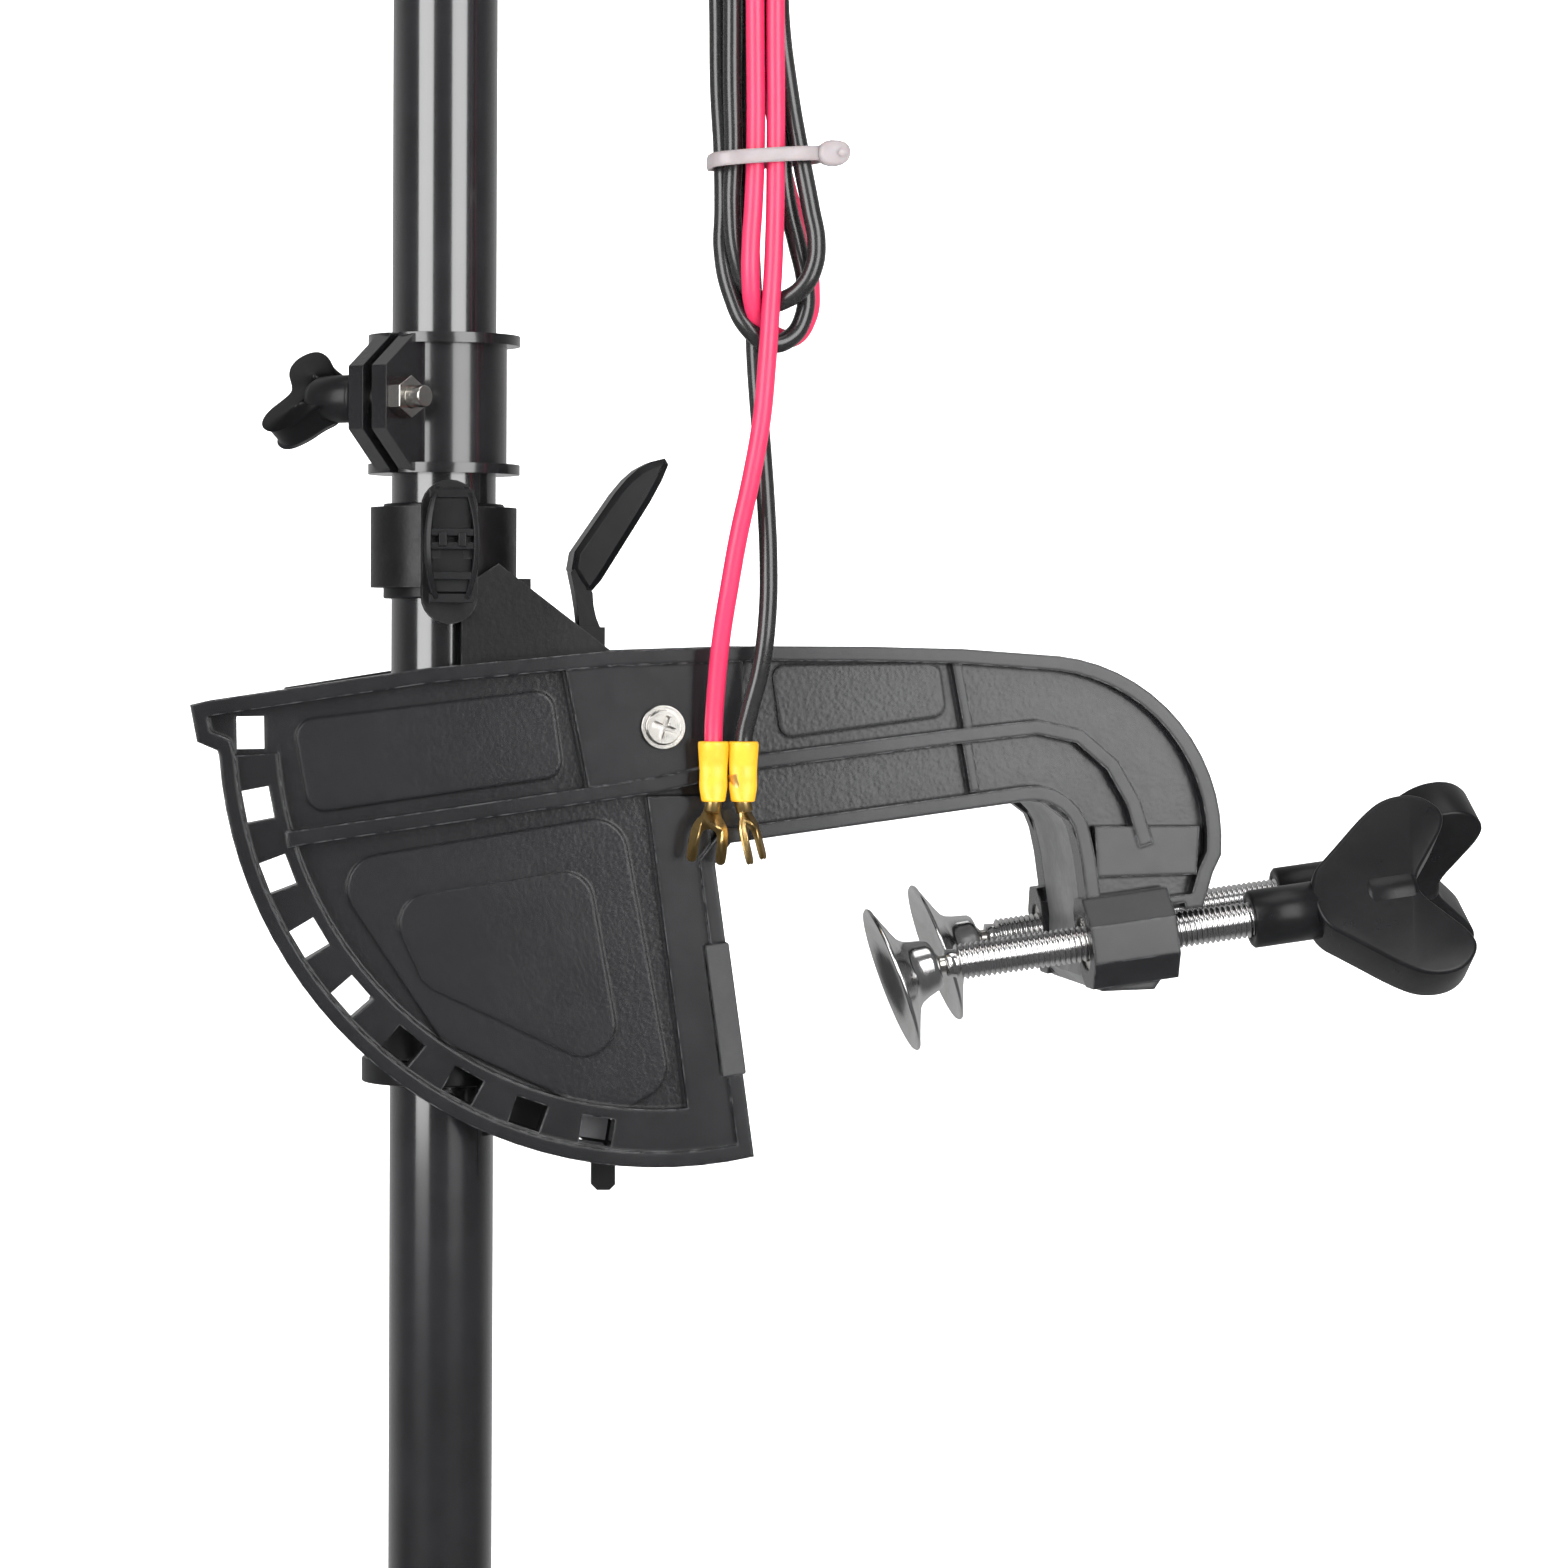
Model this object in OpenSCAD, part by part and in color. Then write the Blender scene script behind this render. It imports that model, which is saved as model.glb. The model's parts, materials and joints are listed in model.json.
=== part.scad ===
// Clamp-on electric trolling motor: transom bracket, tilting hinge arm, steered tube, head and lower unit.
// Millimetres. +X points into the boat, +Z up along the tube. The origin is the centre of the transom pad.

/* [Clamp bracket] */
// Backward lean of the bracket when the tube stands upright, degrees
rake = 8; // [4:1:12]
// Distance between the inner faces of the two bracket sides
bracket_gap = 46; // [46:1:52]
// Thickness of each bracket side
side_t = 5; // [4:0.5:6]
// Depth of the rims and ribs on the outside of each side
rib_h = 6; // [4:0.5:7]
// Outer radius of the index quadrant
quadrant_r = 119; // [117:0.5:121]
// Radius of the row of index windows
window_r = 110.4; // [109:0.2:111]
// Number of index windows, ten degrees apart
window_count = 9; // [7:1:9]
// Diameter of the hinge bolt
pivot_d = 10; // [8:1:10]

/* [Clamp screws] */
// Distance between the two clamp screws
screw_gap = 64; // [64:1:70]
// Nominal thread diameter of a clamp screw
screw_d = 10; // [10:1:12]
// How far the far screw is turned out beyond the near one
far_out = 23.5; // [0:0.5:30]
// Droop of the swivel pads on their balls, degrees
pad_droop = 12; // [0:1:14]
// Diameter of a swivel pad
pad_d = 41; // [36:1:44]

/* [Tube and head] */
// Outer diameter of the tube
tube_d = 28.6; // [28.6:0.1:28.6]
// Wall of the tube
tube_wall = 2.4; // [1.5:0.1:3]
// Distance from the hinge bolt to the tube axis
tube_off = 57; // [57:0.5:60]
// Height of the underside of the head over the hinge bolt
head_z = 400; // [390:5:440]
// Width of the head across the boat
head_w = 96; // [90:2:110]

/* [Lower unit] */
// Depth of the motor axis below the hinge bolt
motor_drop = 470; // [460:5:560]
// Outer radius of the motor can
can_r = 45; // [45:1:48]
// Outer radius of the propeller
prop_r = 112; // [100:2:120]
// Number of propeller blades
blade_count = 3; // [2:1:3]

/* [Battery leads] */
// Diameter of each battery lead
lead_d = 5; // [4:0.5:5]

/* [Hidden] */
$fn = 64;

// Transom pad face, in the bracket's own leaning frame centred on the hinge bolt
face_u = 9.8;
face_w = -78;
pivot_x = -(face_u * cos(rake) - face_w * sin(rake));
pivot_z = -(face_u * sin(rake) + face_w * cos(rake));
tube_x = pivot_x - tube_off;
tube_r = tube_d / 2;
in_y = bracket_gap / 2;
out_y = in_y + side_t;
rim_y = out_y + rib_h;
rim_w = 4;
screw_y = screw_gap / 2;
screw_w = -74.5;
screw_r = screw_d / 2;
near_ball_u = 63;
ball_r = 4.4;
stem_r = 2.4;
boss_u0 = 107;
boss_u1 = 131;
knob_u = 91;
fit = 0.05;
hub_r = 20;
bush_r = tube_r + 2.2;
hub_z0 = 37.5;
hub_z1 = 59.5;
low_hub_z0 = -91;
low_hub_z1 = -75;
collar_z0 = 68.5;
collar_z1 = 106.5;
ear_turn = 225;
ear_x = 26;
head_len = 170;
head_back = 65;
head_h = 44;
tiller_z = head_z + 24;
tiller_x = head_len - head_back + 18;
shaft_r = 5;
can_back = -80;
can_front = 75;
lead_r = lead_d / 2;

// Routes of the free leads, from the hinge bolt
red_feed_route = [[20, -38, 388], [20, -38, 378], [21, -40, 366], [22, -44, 354], [23, -48, 342],
    [24, -51, 330]];
black_feed_route = [[34, -38, 388], [34, -38, 378], [33, -40, 366], [32, -44, 354], [31, -48, 342],
    [30, -51, 330]];
red_tail_route = [[25, -57, 103], [24, -57, 92], [22, -56, 80], [20, -55, 66], [18, -53, 52],
    [16, -51, 38], [14, -48, 24], [13, -45, 10], [12.4, -44, -4]];
black_tail_route = [[24, -46, 103], [24, -46, 92], [24.5, -46.5, 78], [25.5, -47, 62], [26, -48, 46],
    [26, -48, 30], [25, -47, 16], [22.5, -45, 4], [20.4, -44, -4]];

function arc(c, r, a0, a1, n) = [for (i = [0:n]) let (a = a0 + (a1 - a0) * i / n) c + r * [cos(a), sin(a)]];
function unit(v) = v / norm(v);
function across(v) = [-v[1], v[0]];
function heading(p, i) = unit(p[min(i + 1, len(p) - 1)] - p[max(i - 1, 0)]);

// A strip of even width along a bent line
function strip(p, w) = concat(
    [for (i = [0:len(p) - 1]) p[i] + across(heading(p, i)) * w / 2],
    [for (i = [len(p) - 1:-1:0]) p[i] - across(heading(p, i)) * w / 2]);

// A rounded rectangle by its half sizes
function soft_box(hx, hy, r, n = 5) = concat(
    arc([hx - r, hy - r], r, 0, 90, n), arc([r - hx, hy - r], r, 90, 180, n),
    arc([r - hx, r - hy], r, 180, 270, n), arc([hx - r, r - hy], r, 270, 360, n));

// A round tube swept along a route: closed at both ends
module swept(route, r, sides = 8) {
    n = len(route);
    rings = [for (i = [0:n - 1]) let (t = heading(route, i), a = unit(cross(t, [0.6, 0.8, 0])), b = cross(t, a))
        for (k = [0:sides - 1]) route[i] + r * (cos(k * 360 / sides) * a + sin(k * 360 / sides) * b)];
    walls = [for (i = [0:n - 2]) for (k = [0:sides - 1]) let (m = (k + 1) % sides)
        [i * sides + k, (i + 1) * sides + k, (i + 1) * sides + m, i * sides + m]];
    lids = [[for (k = [0:sides - 1]) k], [for (k = [sides - 1:-1:0]) (n - 1) * sides + k]];
    polyhedron(rings, concat(walls, lids), convexity = 4);
}

module at_pivot() translate([pivot_x, 0, pivot_z]) children();
module in_bracket() at_pivot() rotate([0, -rake, 0]) children();
module at_tube() translate([tube_x, 0, pivot_z]) children();
module at_motor() translate([tube_x, 0, pivot_z - motor_drop]) children();
module slab(y0, t) translate([0, y0 + t, 0]) rotate([90, 0, 0]) linear_extrude(t) children();
module rod_x(r, x0, x1) translate([x0, 0, 0]) rotate([0, 90, 0]) cylinder(r = r, h = x1 - x0);
module rod_y(r, y0, y1) translate([0, y0, 0]) rotate([-90, 0, 0]) cylinder(r = r, h = y1 - y0);
module ring_z(ro, ri, z0, z1) translate([0, 0, z0]) difference() {
    cylinder(r = ro, h = z1 - z0);
    translate([0, 0, -1]) cylinder(r = ri, h = z1 - z0 + 2);
}
module ring_x(ro, ri, x0, x1) translate([x0, 0, 0]) rotate([0, 90, 0]) ring_z(ro, ri, 0, x1 - x0);
// A turned piece about the X axis: the profile gives [radius, x]
module turned_x(profile) rotate([0, 90, 0]) rotate_extrude() polygon(profile);
// A block bounded by two corners
module block(a, b) translate(a) cube(b - a);

// ---- Clamp bracket ----

// Side outline in the bracket frame, from the foot of the transom face round the quadrant and the hook
function side_outline(r) = concat(
    arc([0, 0], r, 274.3, 176, 28),
    r > 110 ? [[-119, 10], [-124, 13], [-124.5, 23]] : [],
    [[-r, 23.5], [-60, 24.3], [-11, 22.3], [29, 18.2], [59, 14], [84, 10]],
    arc([98, -45], 51, 76, -12, 14),
    [[145, -60], [141, -69], [132, -69], [130.5, -83], [124.5, -89.5], [110, -88], [boss_u0, -84],
        [109, -70], [109, -52]],
    arc([96.5, -45.5], 12, 0, 90, 6),
    [[14, -33.5], [9, -38.5]]);
rib_line = [[-104, -16], [-3, -15.2], [25, -12.8], [80, -13.4], [102, -14], [113, -18], [121, -27],
    [125.5, -38], [127.5, -50]];
inner_line = [[22, -31.2], [94, -31.2], [102, -33.5], [108.5, -40], [111.2, -50], [111.2, -66]];
window_floor_r = 103.5;

// One side with the ribs outwards towards -Y
module side(r, windows) difference() {
    union() {
        slab(-out_y, side_t) polygon(side_outline(r));
        slab(-rim_y, rib_h + 0.01) difference() {
            polygon(side_outline(r));
            offset(delta = -rim_w) polygon(side_outline(r));
        }
        slab(-rim_y, rib_h + 0.01) polygon(strip(rib_line, 4));
        slab(-rim_y + 1, rib_h) polygon(strip(inner_line, 3));
        // Raised land round the hinge bolt, then the fin that carries it down beside the transom
        slab(-rim_y + 1, rib_h) polygon([[-24, 20], [24, 16], [22, -12], [-22, -14]]);
        slab(-rim_y + 2, rib_h) polygon([[-6.5, -18], [9, -20], [9, -118], [-7, -116]]);
        // Dividers across the hook, and the grip pad at its end
        slab(-rim_y + 1, rib_h) polygon(strip([[82, 9], [83, -12]], 2.6));
        slab(-rim_y + 1, rib_h) polygon(strip([[82, -15], [82.5, -29]], 2.6));
        slab(-rim_y + 0.6, rib_h) polygon([[114, -43], [143, -47], [140.5, -60], [113, -57]]);
        // Shallow raised panels in the pockets
        slab(-out_y - 1.2, 2) offset(r = 5) offset(delta = -5)
            polygon([[-98, 15], [-28, 14], [-28, -9.5], [-97, -10]]);
        slab(-out_y - 1.2, 2) offset(r = 3.5) offset(delta = -3.5)
            polygon([[32, 12.6], [78, 7], [78, -7.5], [32, -7.5]]);
        if (windows) {
            slab(-out_y - 1.6, 2) offset(r = 9) offset(delta = -9)
                polygon([[-95, -24], [-14, -22], [-10.5, -96], [-28, -103], [-70, -76]]);
            slab(-out_y - 2.6, 2) offset(r = 8) offset(delta = -8)
                polygon([[-80, -36], [-25, -35], [-23, -81], [-32, -87], [-73, -60]]);
            // Band of lands between the windows
            slab(-out_y - 4, 4.5) polygon(concat(
                arc([0, 0], quadrant_r - 1, 272, 176, 24), arc([0, 0], window_floor_r, 176, 268, 24)));
        }
        // Boss that carries the threaded insert
        difference() {
            translate([0, -screw_y, screw_w]) rotate([22.5, 0, 0]) translate([boss_u0, 0, 0]) rotate([0, 90, 0])
                cylinder(r = 13.4, h = boss_u1 - boss_u0, $fn = 8);
            block([boss_u0 - 1, -in_y, -120], [boss_u1 + 1, 0, -20]);
        }
    }
    if (windows) for (i = [0:window_count - 1]) rotate([0, 17 + 10 * i, 0])
        translate([0, 0, -window_r]) block([-4.4, -rim_y - 1, -3.7], [4.4, -in_y + 1, 3.7]);
    rod_y(pivot_d / 2 + fit, -rim_y - 1, -in_y + 1);
    translate([0, -screw_y, screw_w]) rod_x(7.6, boss_u0 - 5, boss_u1 + 5);
    block([3.4, -rim_y - 1, face_w - 18], [12, -in_y + 1, face_w + 18]);
    for (p = bracket_screw_places) translate([p[0], 0, p[1]]) rod_y(2.5 + fit, -out_y + 1.5, -in_y + 1);
}
// Joining screws, in the bracket frame
bracket_screw_places = [[22, -29], [132, -22], [98, -1]];

module bracket_near_side() color([0.1, 0.1, 0.11]) in_bracket() side(quadrant_r, true);

module bracket_far_side() color([0.1, 0.1, 0.11]) in_bracket() difference() {
    mirror([0, 1, 0]) side(97, false);
    for (p = bracket_screw_places) translate([p[0], 0, p[1]]) {
        rod_y(2.5 + fit, in_y - 1, rim_y + 1);
        rod_y(4.8, out_y, rim_y + 1);
    }
}

module hook_bridge() color([0.13, 0.13, 0.14]) in_bracket() difference() {
    slab(-in_y, bracket_gap) intersection() {
        difference() {
            polygon(side_outline(97));
            offset(delta = -4.5) polygon(side_outline(97));
        }
        union() {
            polygon([[78, 40], [170, 40], [170, -110], [78, -110]]);
            polygon([[12, -20], [80, -20], [80, -50], [12, -50]]);
        }
    }
    for (p = bracket_screw_places) translate([p[0], 0, p[1]]) rod_y(2.5 + fit, -in_y - 1, in_y + 1);
    for (s = [-1, 1]) translate([0, s * screw_y, screw_w]) rod_x(7.6 + 0.3, boss_u0 - 5, boss_u1 + 5);
}

module transom_plate() color([0.12, 0.12, 0.13]) in_bracket() difference() {
    slab(-in_y, bracket_gap) polygon([[3, -118], [9, -119.3], [9, -40], [12, -36], [12, -33.6], [3, -33.6]]);
    block([3.4, -in_y - 1, face_w - 18], [12, in_y + 1, face_w + 18]);
}

module transom_pad() color([0.33, 0.33, 0.34]) in_bracket()
    block([3.4, -rim_y - 0.6, face_w - 18], [face_u, rim_y + 0.6, face_w + 18]);

module clamp_inserts() color("silver") in_bracket() for (s = [-1, 1]) translate([0, s * screw_y, screw_w])
    ring_x(7.6, screw_r + fit, boss_u0 + 0.5, boss_u1 - 0.5);

module bracket_screws() color("dimgray") in_bracket() for (p = bracket_screw_places) translate([p[0], 0, p[1]]) {
    rod_y(2.5, -out_y + 2, out_y + 0.5);
    difference() {
        rod_y(4.5, out_y, out_y + 3);
        rod_y(1.6, out_y + 1.2, out_y + 4);
    }
}

module pivot_bolt() color("silver") at_pivot() difference() {
    union() {
        rod_y(pivot_d / 2, -rim_y - 0.5, rim_y + 8);
        rod_y(6, -rim_y + 0.99 - 1.6, -rim_y + 1);
        rod_y(4.6, -rim_y - 3, -rim_y);
    }
    for (a = [0, 90]) rotate([0, a + 20, 0]) block([-3, -rim_y - 4, -0.6], [3, -rim_y - 1.4, 0.6]);
}

module pivot_nut() color("silver") at_pivot() difference() {
    union() {
        rod_y(9, rim_y - 1, rim_y + 0.6);
        translate([0, rim_y + 0.6, 0]) rotate([-90, 0, 0]) cylinder(r = 9.2, h = 6, $fn = 6);
    }
    rod_y(pivot_d / 2, rim_y - 2, rim_y + 10);
}

// ---- Hinge arm: turns about the hinge bolt and carries the tube ----

cheek = [[-53.5, 37.5], [-43.6, 44], [-12.9, 20.5], [-6, 17], [8, 10.5], [12.6, 3], [12.6, -3], [6, -12],
    [-8, -14], [-30, -50], [-38, -76], [-54, -76]];
release_z = 14;

module hinge_arm() color([0.12, 0.12, 0.13]) at_pivot() difference() {
    union() {
        translate([-tube_off, 0, hub_z0]) cylinder(r = hub_r, h = hub_z1 - hub_z0);
        translate([-tube_off, 0, low_hub_z0]) cylinder(r = hub_r, h = low_hub_z1 - low_hub_z0);
        // Oval seat of the tension lever
        translate([-tube_off, 0, 47]) slab(-24, 6) polygon(concat(
            arc([0, 12], 7.5, 0, 180, 12), arc([0, -12], 7.5, 180, 360, 12)));
        for (y = [-21.5, 17.5]) slab(y, 4) polygon(cheek);
        block([-38.5, -17.6, -78], [-34.5, 17.6, 40]);
        rod_y(13, -17.6, 17.6);
        block([-35, -9, -4], [-10, 9, 4]);
        // Guide that stays behind the windows next to the lock
        block([-38.4, -8, -90.9], [-27, 8, -76]);
        block([-33.6, -9, -113], [-27, 9, -76]);
        block([-41.5, -9, -113], [-27, 9, -98.8]);
        // Ears of the release lever's pin
        for (x = [-25.2, -12.8]) block([x, -17.6, release_z - 4], [x + 3.4, -10.5, release_z + 4]);
        // Knuckles of the tension lever
        for (x = [-5.9, 3.1]) translate([-tube_off + x, 0, 49]) block([0, -31.5, -4], [2.8, -20, 4]);
    }
    translate([-tube_off, 0, -120]) cylinder(r = bush_r + fit, h = 200);
    rod_y(pivot_d / 2 + fit, -25, 25);
    translate([0, -14.6, release_z]) rod_x(1.5, -30, -5);
    translate([-tube_off, -28, 49]) rod_x(1.5, -8, 8);
    translate([-tube_off, 0, 49]) rod_y(4.2, -26, -14);
}

module tension_pin() color("silver") at_pivot() translate([-tube_off, -28, 49]) rod_x(1.5, -6, 6);
module release_pin() color("silver") at_pivot() translate([0, -14.6, release_z]) rod_x(1.5, -25.2, -9.4);

// Nylon plug that the lever presses against the bush
module brake_shoe() color("ivory") at_pivot() translate([-tube_off, 0, 49]) difference() {
    rod_y(4.15, -24.3, -15);
    cylinder(r = bush_r + 0.3, h = 20, center = true);
}

// The upper half leans away from its seat, so the lever can rock
lever_side = [[-24.5, -13], [-31, -15.5], [-34.5, -6], [-35, 6], [-32.5, 15.5], [-29.3, 14.5], [-24.5, 0.5]];

module tension_lever() color([0.16, 0.16, 0.17]) at_pivot() translate([-tube_off, 0, 49]) difference() {
    union() {
        slab_x(-2.8, 5.6) polygon(lever_side);
        for (x = [-7.2, 6]) slab_x(x, 1.2) polygon(lever_side);
        for (z = [-11, 7, 12]) block([-7.2, -33, z - 1.2], [7.2, -29.5, z + 1.2]);
    }
    translate([0, -28, 0]) rod_x(1.5 + fit, -9, 9);
    block([-2, -40, -10], [2, -31, 8]);
}
module slab_x(x0, t) translate([x0, 0, 0]) rotate([90, 0, 90]) linear_extrude(t) children();

module release_lever() color([0.14, 0.14, 0.15]) at_pivot() difference() {
    union() {
        // Paddle and its neck
        slab(-16.5, 19) polygon([[-24.2, 44.8], [-9.6, 66.2], [-3.5, 71.7], [4.2, 73.7], [0.6, 64.9], [-17.3, 36.1],
            [-20, 37]]);
        slab(-16.5, 12) polygon([[-24, 44.5], [-17.5, 38], [-17, 31], [-14.5, 25], [-20.8, 25], [-21.8, 34]]);
        // Bar down to the lock, and its tail
        slab(-15.8, 3.1) polygon([[-21, 27], [-14, 27], [-14, -100], [-10.5, -112], [-10.5, -125.5], [-12, -127],
            [-15.5, -127], [-17, -125.5], [-17, -115], [-21, -112]]);
        translate([0, -14.6, release_z]) rod_x(2.7, -21, -14);
    }
    translate([0, -14.6, release_z]) rod_x(1.5 + fit, -30, -5);
    translate([-15.8, 0, -108.8]) rod_y(2, -18, -10);
}

module lock_block() color([0.35, 0.35, 0.37]) at_pivot() {
    rotate([0, 17 - rake, 0]) translate([0, 0, -window_r]) block([-3.7, -in_y + 0.4, -3.0], [3.7, -15.8, 3.0]);
    translate([-15.8, 0, -108.8]) rod_y(2, -17, -12);
}

// ---- Tube, bushes and depth collar ----

module hub_bushes() color([0.08, 0.08, 0.09]) at_pivot() translate([-tube_off, 0, 0]) {
    ring_z(bush_r, tube_r + fit, 34.5, hub_z1 + 1);
    ring_z(bush_r, tube_r + fit, -98, -70);
    ring_z(22, bush_r - 0.5, -98, low_hub_z0 - 0.3);
}

module depth_tube() color([0.04, 0.04, 0.045]) at_tube()
    ring_z(tube_r, tube_r - tube_wall, 25 - motor_drop + can_r, head_z + 34);

module ear_frame() rotate(ear_turn) children();
module depth_collar() color([0.07, 0.07, 0.08]) at_tube() difference() {
    union() {
        ring_z(17.2, tube_r + 0.04, collar_z0, collar_z1);
        for (z = [collar_z0, collar_z1 - 2.8]) ring_z(20.8, tube_r + 0.04, z, z + 2.8);
        ear_frame() for (y = [1.6, -6.8]) slab(y, 5.2) polygon([[15, collar_z0 + 0.5], [15, collar_z1 - 0.5],
            [20, collar_z1 - 0.5], [31.5, 97], [31.5, 80], [20, collar_z0 + 0.5]]);
    }
    ear_frame() block([10, -1.6, collar_z0 - 1], [40, 1.6, collar_z1 + 1]);
    ear_frame() translate([ear_x, 0, 88.5]) rod_y(3.05, -20, 20);
    cylinder(r = tube_r + 0.04, h = 200);
}
module collar_nut() color("silver") at_tube() ear_frame() translate([ear_x, 6.8, 88.5]) difference() {
    rotate([-90, 30, 0]) cylinder(r = 5.8, h = 4.4, $fn = 6);
    rod_y(3.05, -1, 8);
}
module collar_bolt() color("silver") at_tube() ear_frame() translate([ear_x, 0, 88.5]) rod_y(3, -22, 16);
module collar_knob() color([0.1, 0.1, 0.11]) at_tube() ear_frame() translate([ear_x, 0, 88.5]) difference() {
    union() {
        rod_y(6.5, -20, -7);
        rotate([0, 25, 0]) translate([-3.2, 0, 0]) rotate([0, 0, 90]) slab(-6.4, 6.4)
            polygon([[-16, -5], [-24, -12.5], [-31, -13.5], [-35.5, -9], [-31.5, 0], [-35.5, 9], [-31, 13.5],
                [-24, 12.5], [-16, 5]]);
    }
    rod_y(3, -22, -5);
}

// ---- Head and tiller ----

module head_shape(shrink) translate([head_len / 2 - head_back, 0, 0])
    polygon(soft_box(head_len / 2 - shrink, head_w / 2 - shrink, 24 - shrink));

module head_shell() color([0.09, 0.09, 0.1]) at_tube() translate([0, 0, head_z]) difference() {
    union() {
        linear_extrude(head_h) head_shape(0);
        translate([0, 0, -14]) cylinder(r = 20, h = 16);
        // Lugs that hold the tiller
        for (y = [-22, 16.5]) translate([0, 0, tiller_z - head_z]) {
            block([head_len - head_back - 2, y, -11], [tiller_x, y + 5.5, 11]);
            translate([tiller_x, 0, 0]) rod_y(11, y, y + 5.5);
        }
    }
    translate([tiller_x, 0, tiller_z - head_z]) rod_y(5 + fit, -30, 30);
    translate([0, 0, 4]) difference() {
        linear_extrude(head_h) head_shape(4);
        translate([0, 0, -1]) cylinder(r = 20, h = 32);
    }
    translate([0, 0, -20]) cylinder(r = tube_r, h = 54);
    for (x = [tube_off + 20, tube_off + 34]) translate([x, -38, -1]) cylinder(r = 4.5, h = 10);
    translate([head_len - head_back - 10, 0, tiller_z - head_z]) rod_x(7.05, 0, 20);
}

module head_lid() color([0.09, 0.09, 0.1]) at_tube() translate([0, 0, head_z + head_h]) difference() {
    union() {
        linear_extrude(14) head_shape(0);
        translate([0, 0, 14]) linear_extrude(6) head_shape(5);
        translate([0, 0, 20]) linear_extrude(4) head_shape(14);
    }
    translate([0, 0, -1]) linear_extrude(13) head_shape(4);
}

module speed_switch() color("dimgray") at_tube() translate([0, 0, tiller_z]) {
    block([58, -17, -15], [head_len - head_back - 12, 17, 15]);
    rod_x(7, head_len - head_back - 13, head_len - head_back + 2);
}

module lead_glands() color([0.06, 0.06, 0.06]) at_pivot() for (x = [20, 34]) translate([x, -38, 0]) {
    translate([0, 0, head_z]) ring_z(4.5, lead_r, 0, 4);
    translate([0, 0, head_z - 12]) difference() {
        cylinder(r1 = 4.2, r2 = 6, h = 12);
        translate([0, 0, -1]) cylinder(r = lead_r, h = 14);
    }
}

module tiller_arm() color([0.09, 0.09, 0.1]) at_tube() translate([tiller_x, 0, tiller_z]) difference() {
    union() {
        rod_y(12, -16, 16);
        rod_y(5, -22.5, 22.5);
        rod_x(10, 0, 30);
        rod_x(16, 24, 120);
    }
    rod_x(11 + fit, 32, 121);
}
module tiller_tube() color([0.6, 0.6, 0.62]) at_tube() translate([tiller_x, 0, tiller_z])
    ring_x(11, 8, 54, 262);
module twist_grip() color([0.07, 0.07, 0.07]) at_tube() translate([tiller_x, 0, tiller_z]) difference() {
    union() {
        turned_x([[0, 142], [19, 142], [19, 148], [16.5, 150], [17.5, 200], [16.5, 258], [19, 262], [19, 266],
            [14, 270], [0, 271]]);
    }
    rod_x(11 + fit, 141, 264);
    for (i = [0:11]) rotate([i * 30, 0, 0]) translate([156, 0, 18.2]) rod_x(1.6, 0, 96);
}

// ---- Lower unit, along X about the motor axis ----

module motor_can() color([0.08, 0.08, 0.09]) at_motor() difference() {
    union() {
        rod_x(can_r, can_back, can_front);
        translate([0, 0, can_r - 8]) cylinder(r = 21, h = 24);
        translate([0, 0, can_r + 16]) cylinder(r1 = 21, r2 = 17.5, h = 14);
    }
    rod_x(can_r - 3, can_back - 1, can_front + 1);
    translate([0, 0, can_r - 20]) cylinder(r = tube_r, h = 60);
}

module nose_bell() color([0.08, 0.08, 0.09]) at_motor() difference() {
    turned_x([[0, can_front - 6], [can_r - 3.1, can_front - 6], [can_r - 3.1, can_front], [can_r, can_front],
        [can_r - 1, can_front + 14], [can_r - 6, can_front + 30], [can_r - 16, can_front + 46],
        [can_r - 30, can_front + 56], [0, can_front + 60]]);
    turned_x([[0, can_front - 7], [can_r - 8, can_front - 7], [can_r - 10, can_front + 20], [16, can_front + 32],
        [16, can_front + 4], [9, can_front + 4], [9, can_front + 14], [0, can_front + 14]]);
    bolt_circle() rod_x(2.5, can_front - 8, can_front + 12);
}

module tail_bell() color([0.08, 0.08, 0.09]) at_motor() difference() {
    turned_x([[0, can_back - 42], [18, can_back - 42], [21, can_back - 40], [33, can_back - 22], [can_r - 3, can_back - 6],
        [can_r, can_back], [can_r - 3.1, can_back], [can_r - 3.1, can_back + 6], [0, can_back + 6]]);
    turned_x([[0, can_back + 7], [can_r - 9, can_back + 7], [can_r - 12, can_back - 6], [16, can_back - 14], [9, can_back - 14],
        [9, can_back - 36], [0, can_back - 36]]);
    rod_x(9, can_back - 43, can_back - 14);
    bolt_circle() rod_x(2.5, can_back - 24, can_back + 8);
    bolt_circle() rod_x(4.2, can_back - 24, can_back - 5);
}

module bolt_circle() for (s = [-1, 1]) translate([0, s * (can_r - 8), 0]) children();

module skeg() color([0.08, 0.08, 0.09]) at_motor() difference() {
    slab(-3, 6) polygon([[-60, -can_r + 8], [42, -can_r + 8], [6, -can_r - 62], [-2, -can_r - 70],
        [-34, -can_r - 70], [-44, -can_r - 62]]);
    rod_x(can_r, can_back, can_front);
}

module magnets() color("dimgray") at_motor() for (s = [0, 180]) rotate([s, 0, 0]) difference() {
    ring_x(can_r - 3, can_r - 11, -46, 46);
    for (a = [30, 240]) rotate([a, 0, 0]) block([-50, 0, -60], [50, 60, 0]);
    block([-50, -60, -60], [50, 60, 0]);
}

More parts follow.
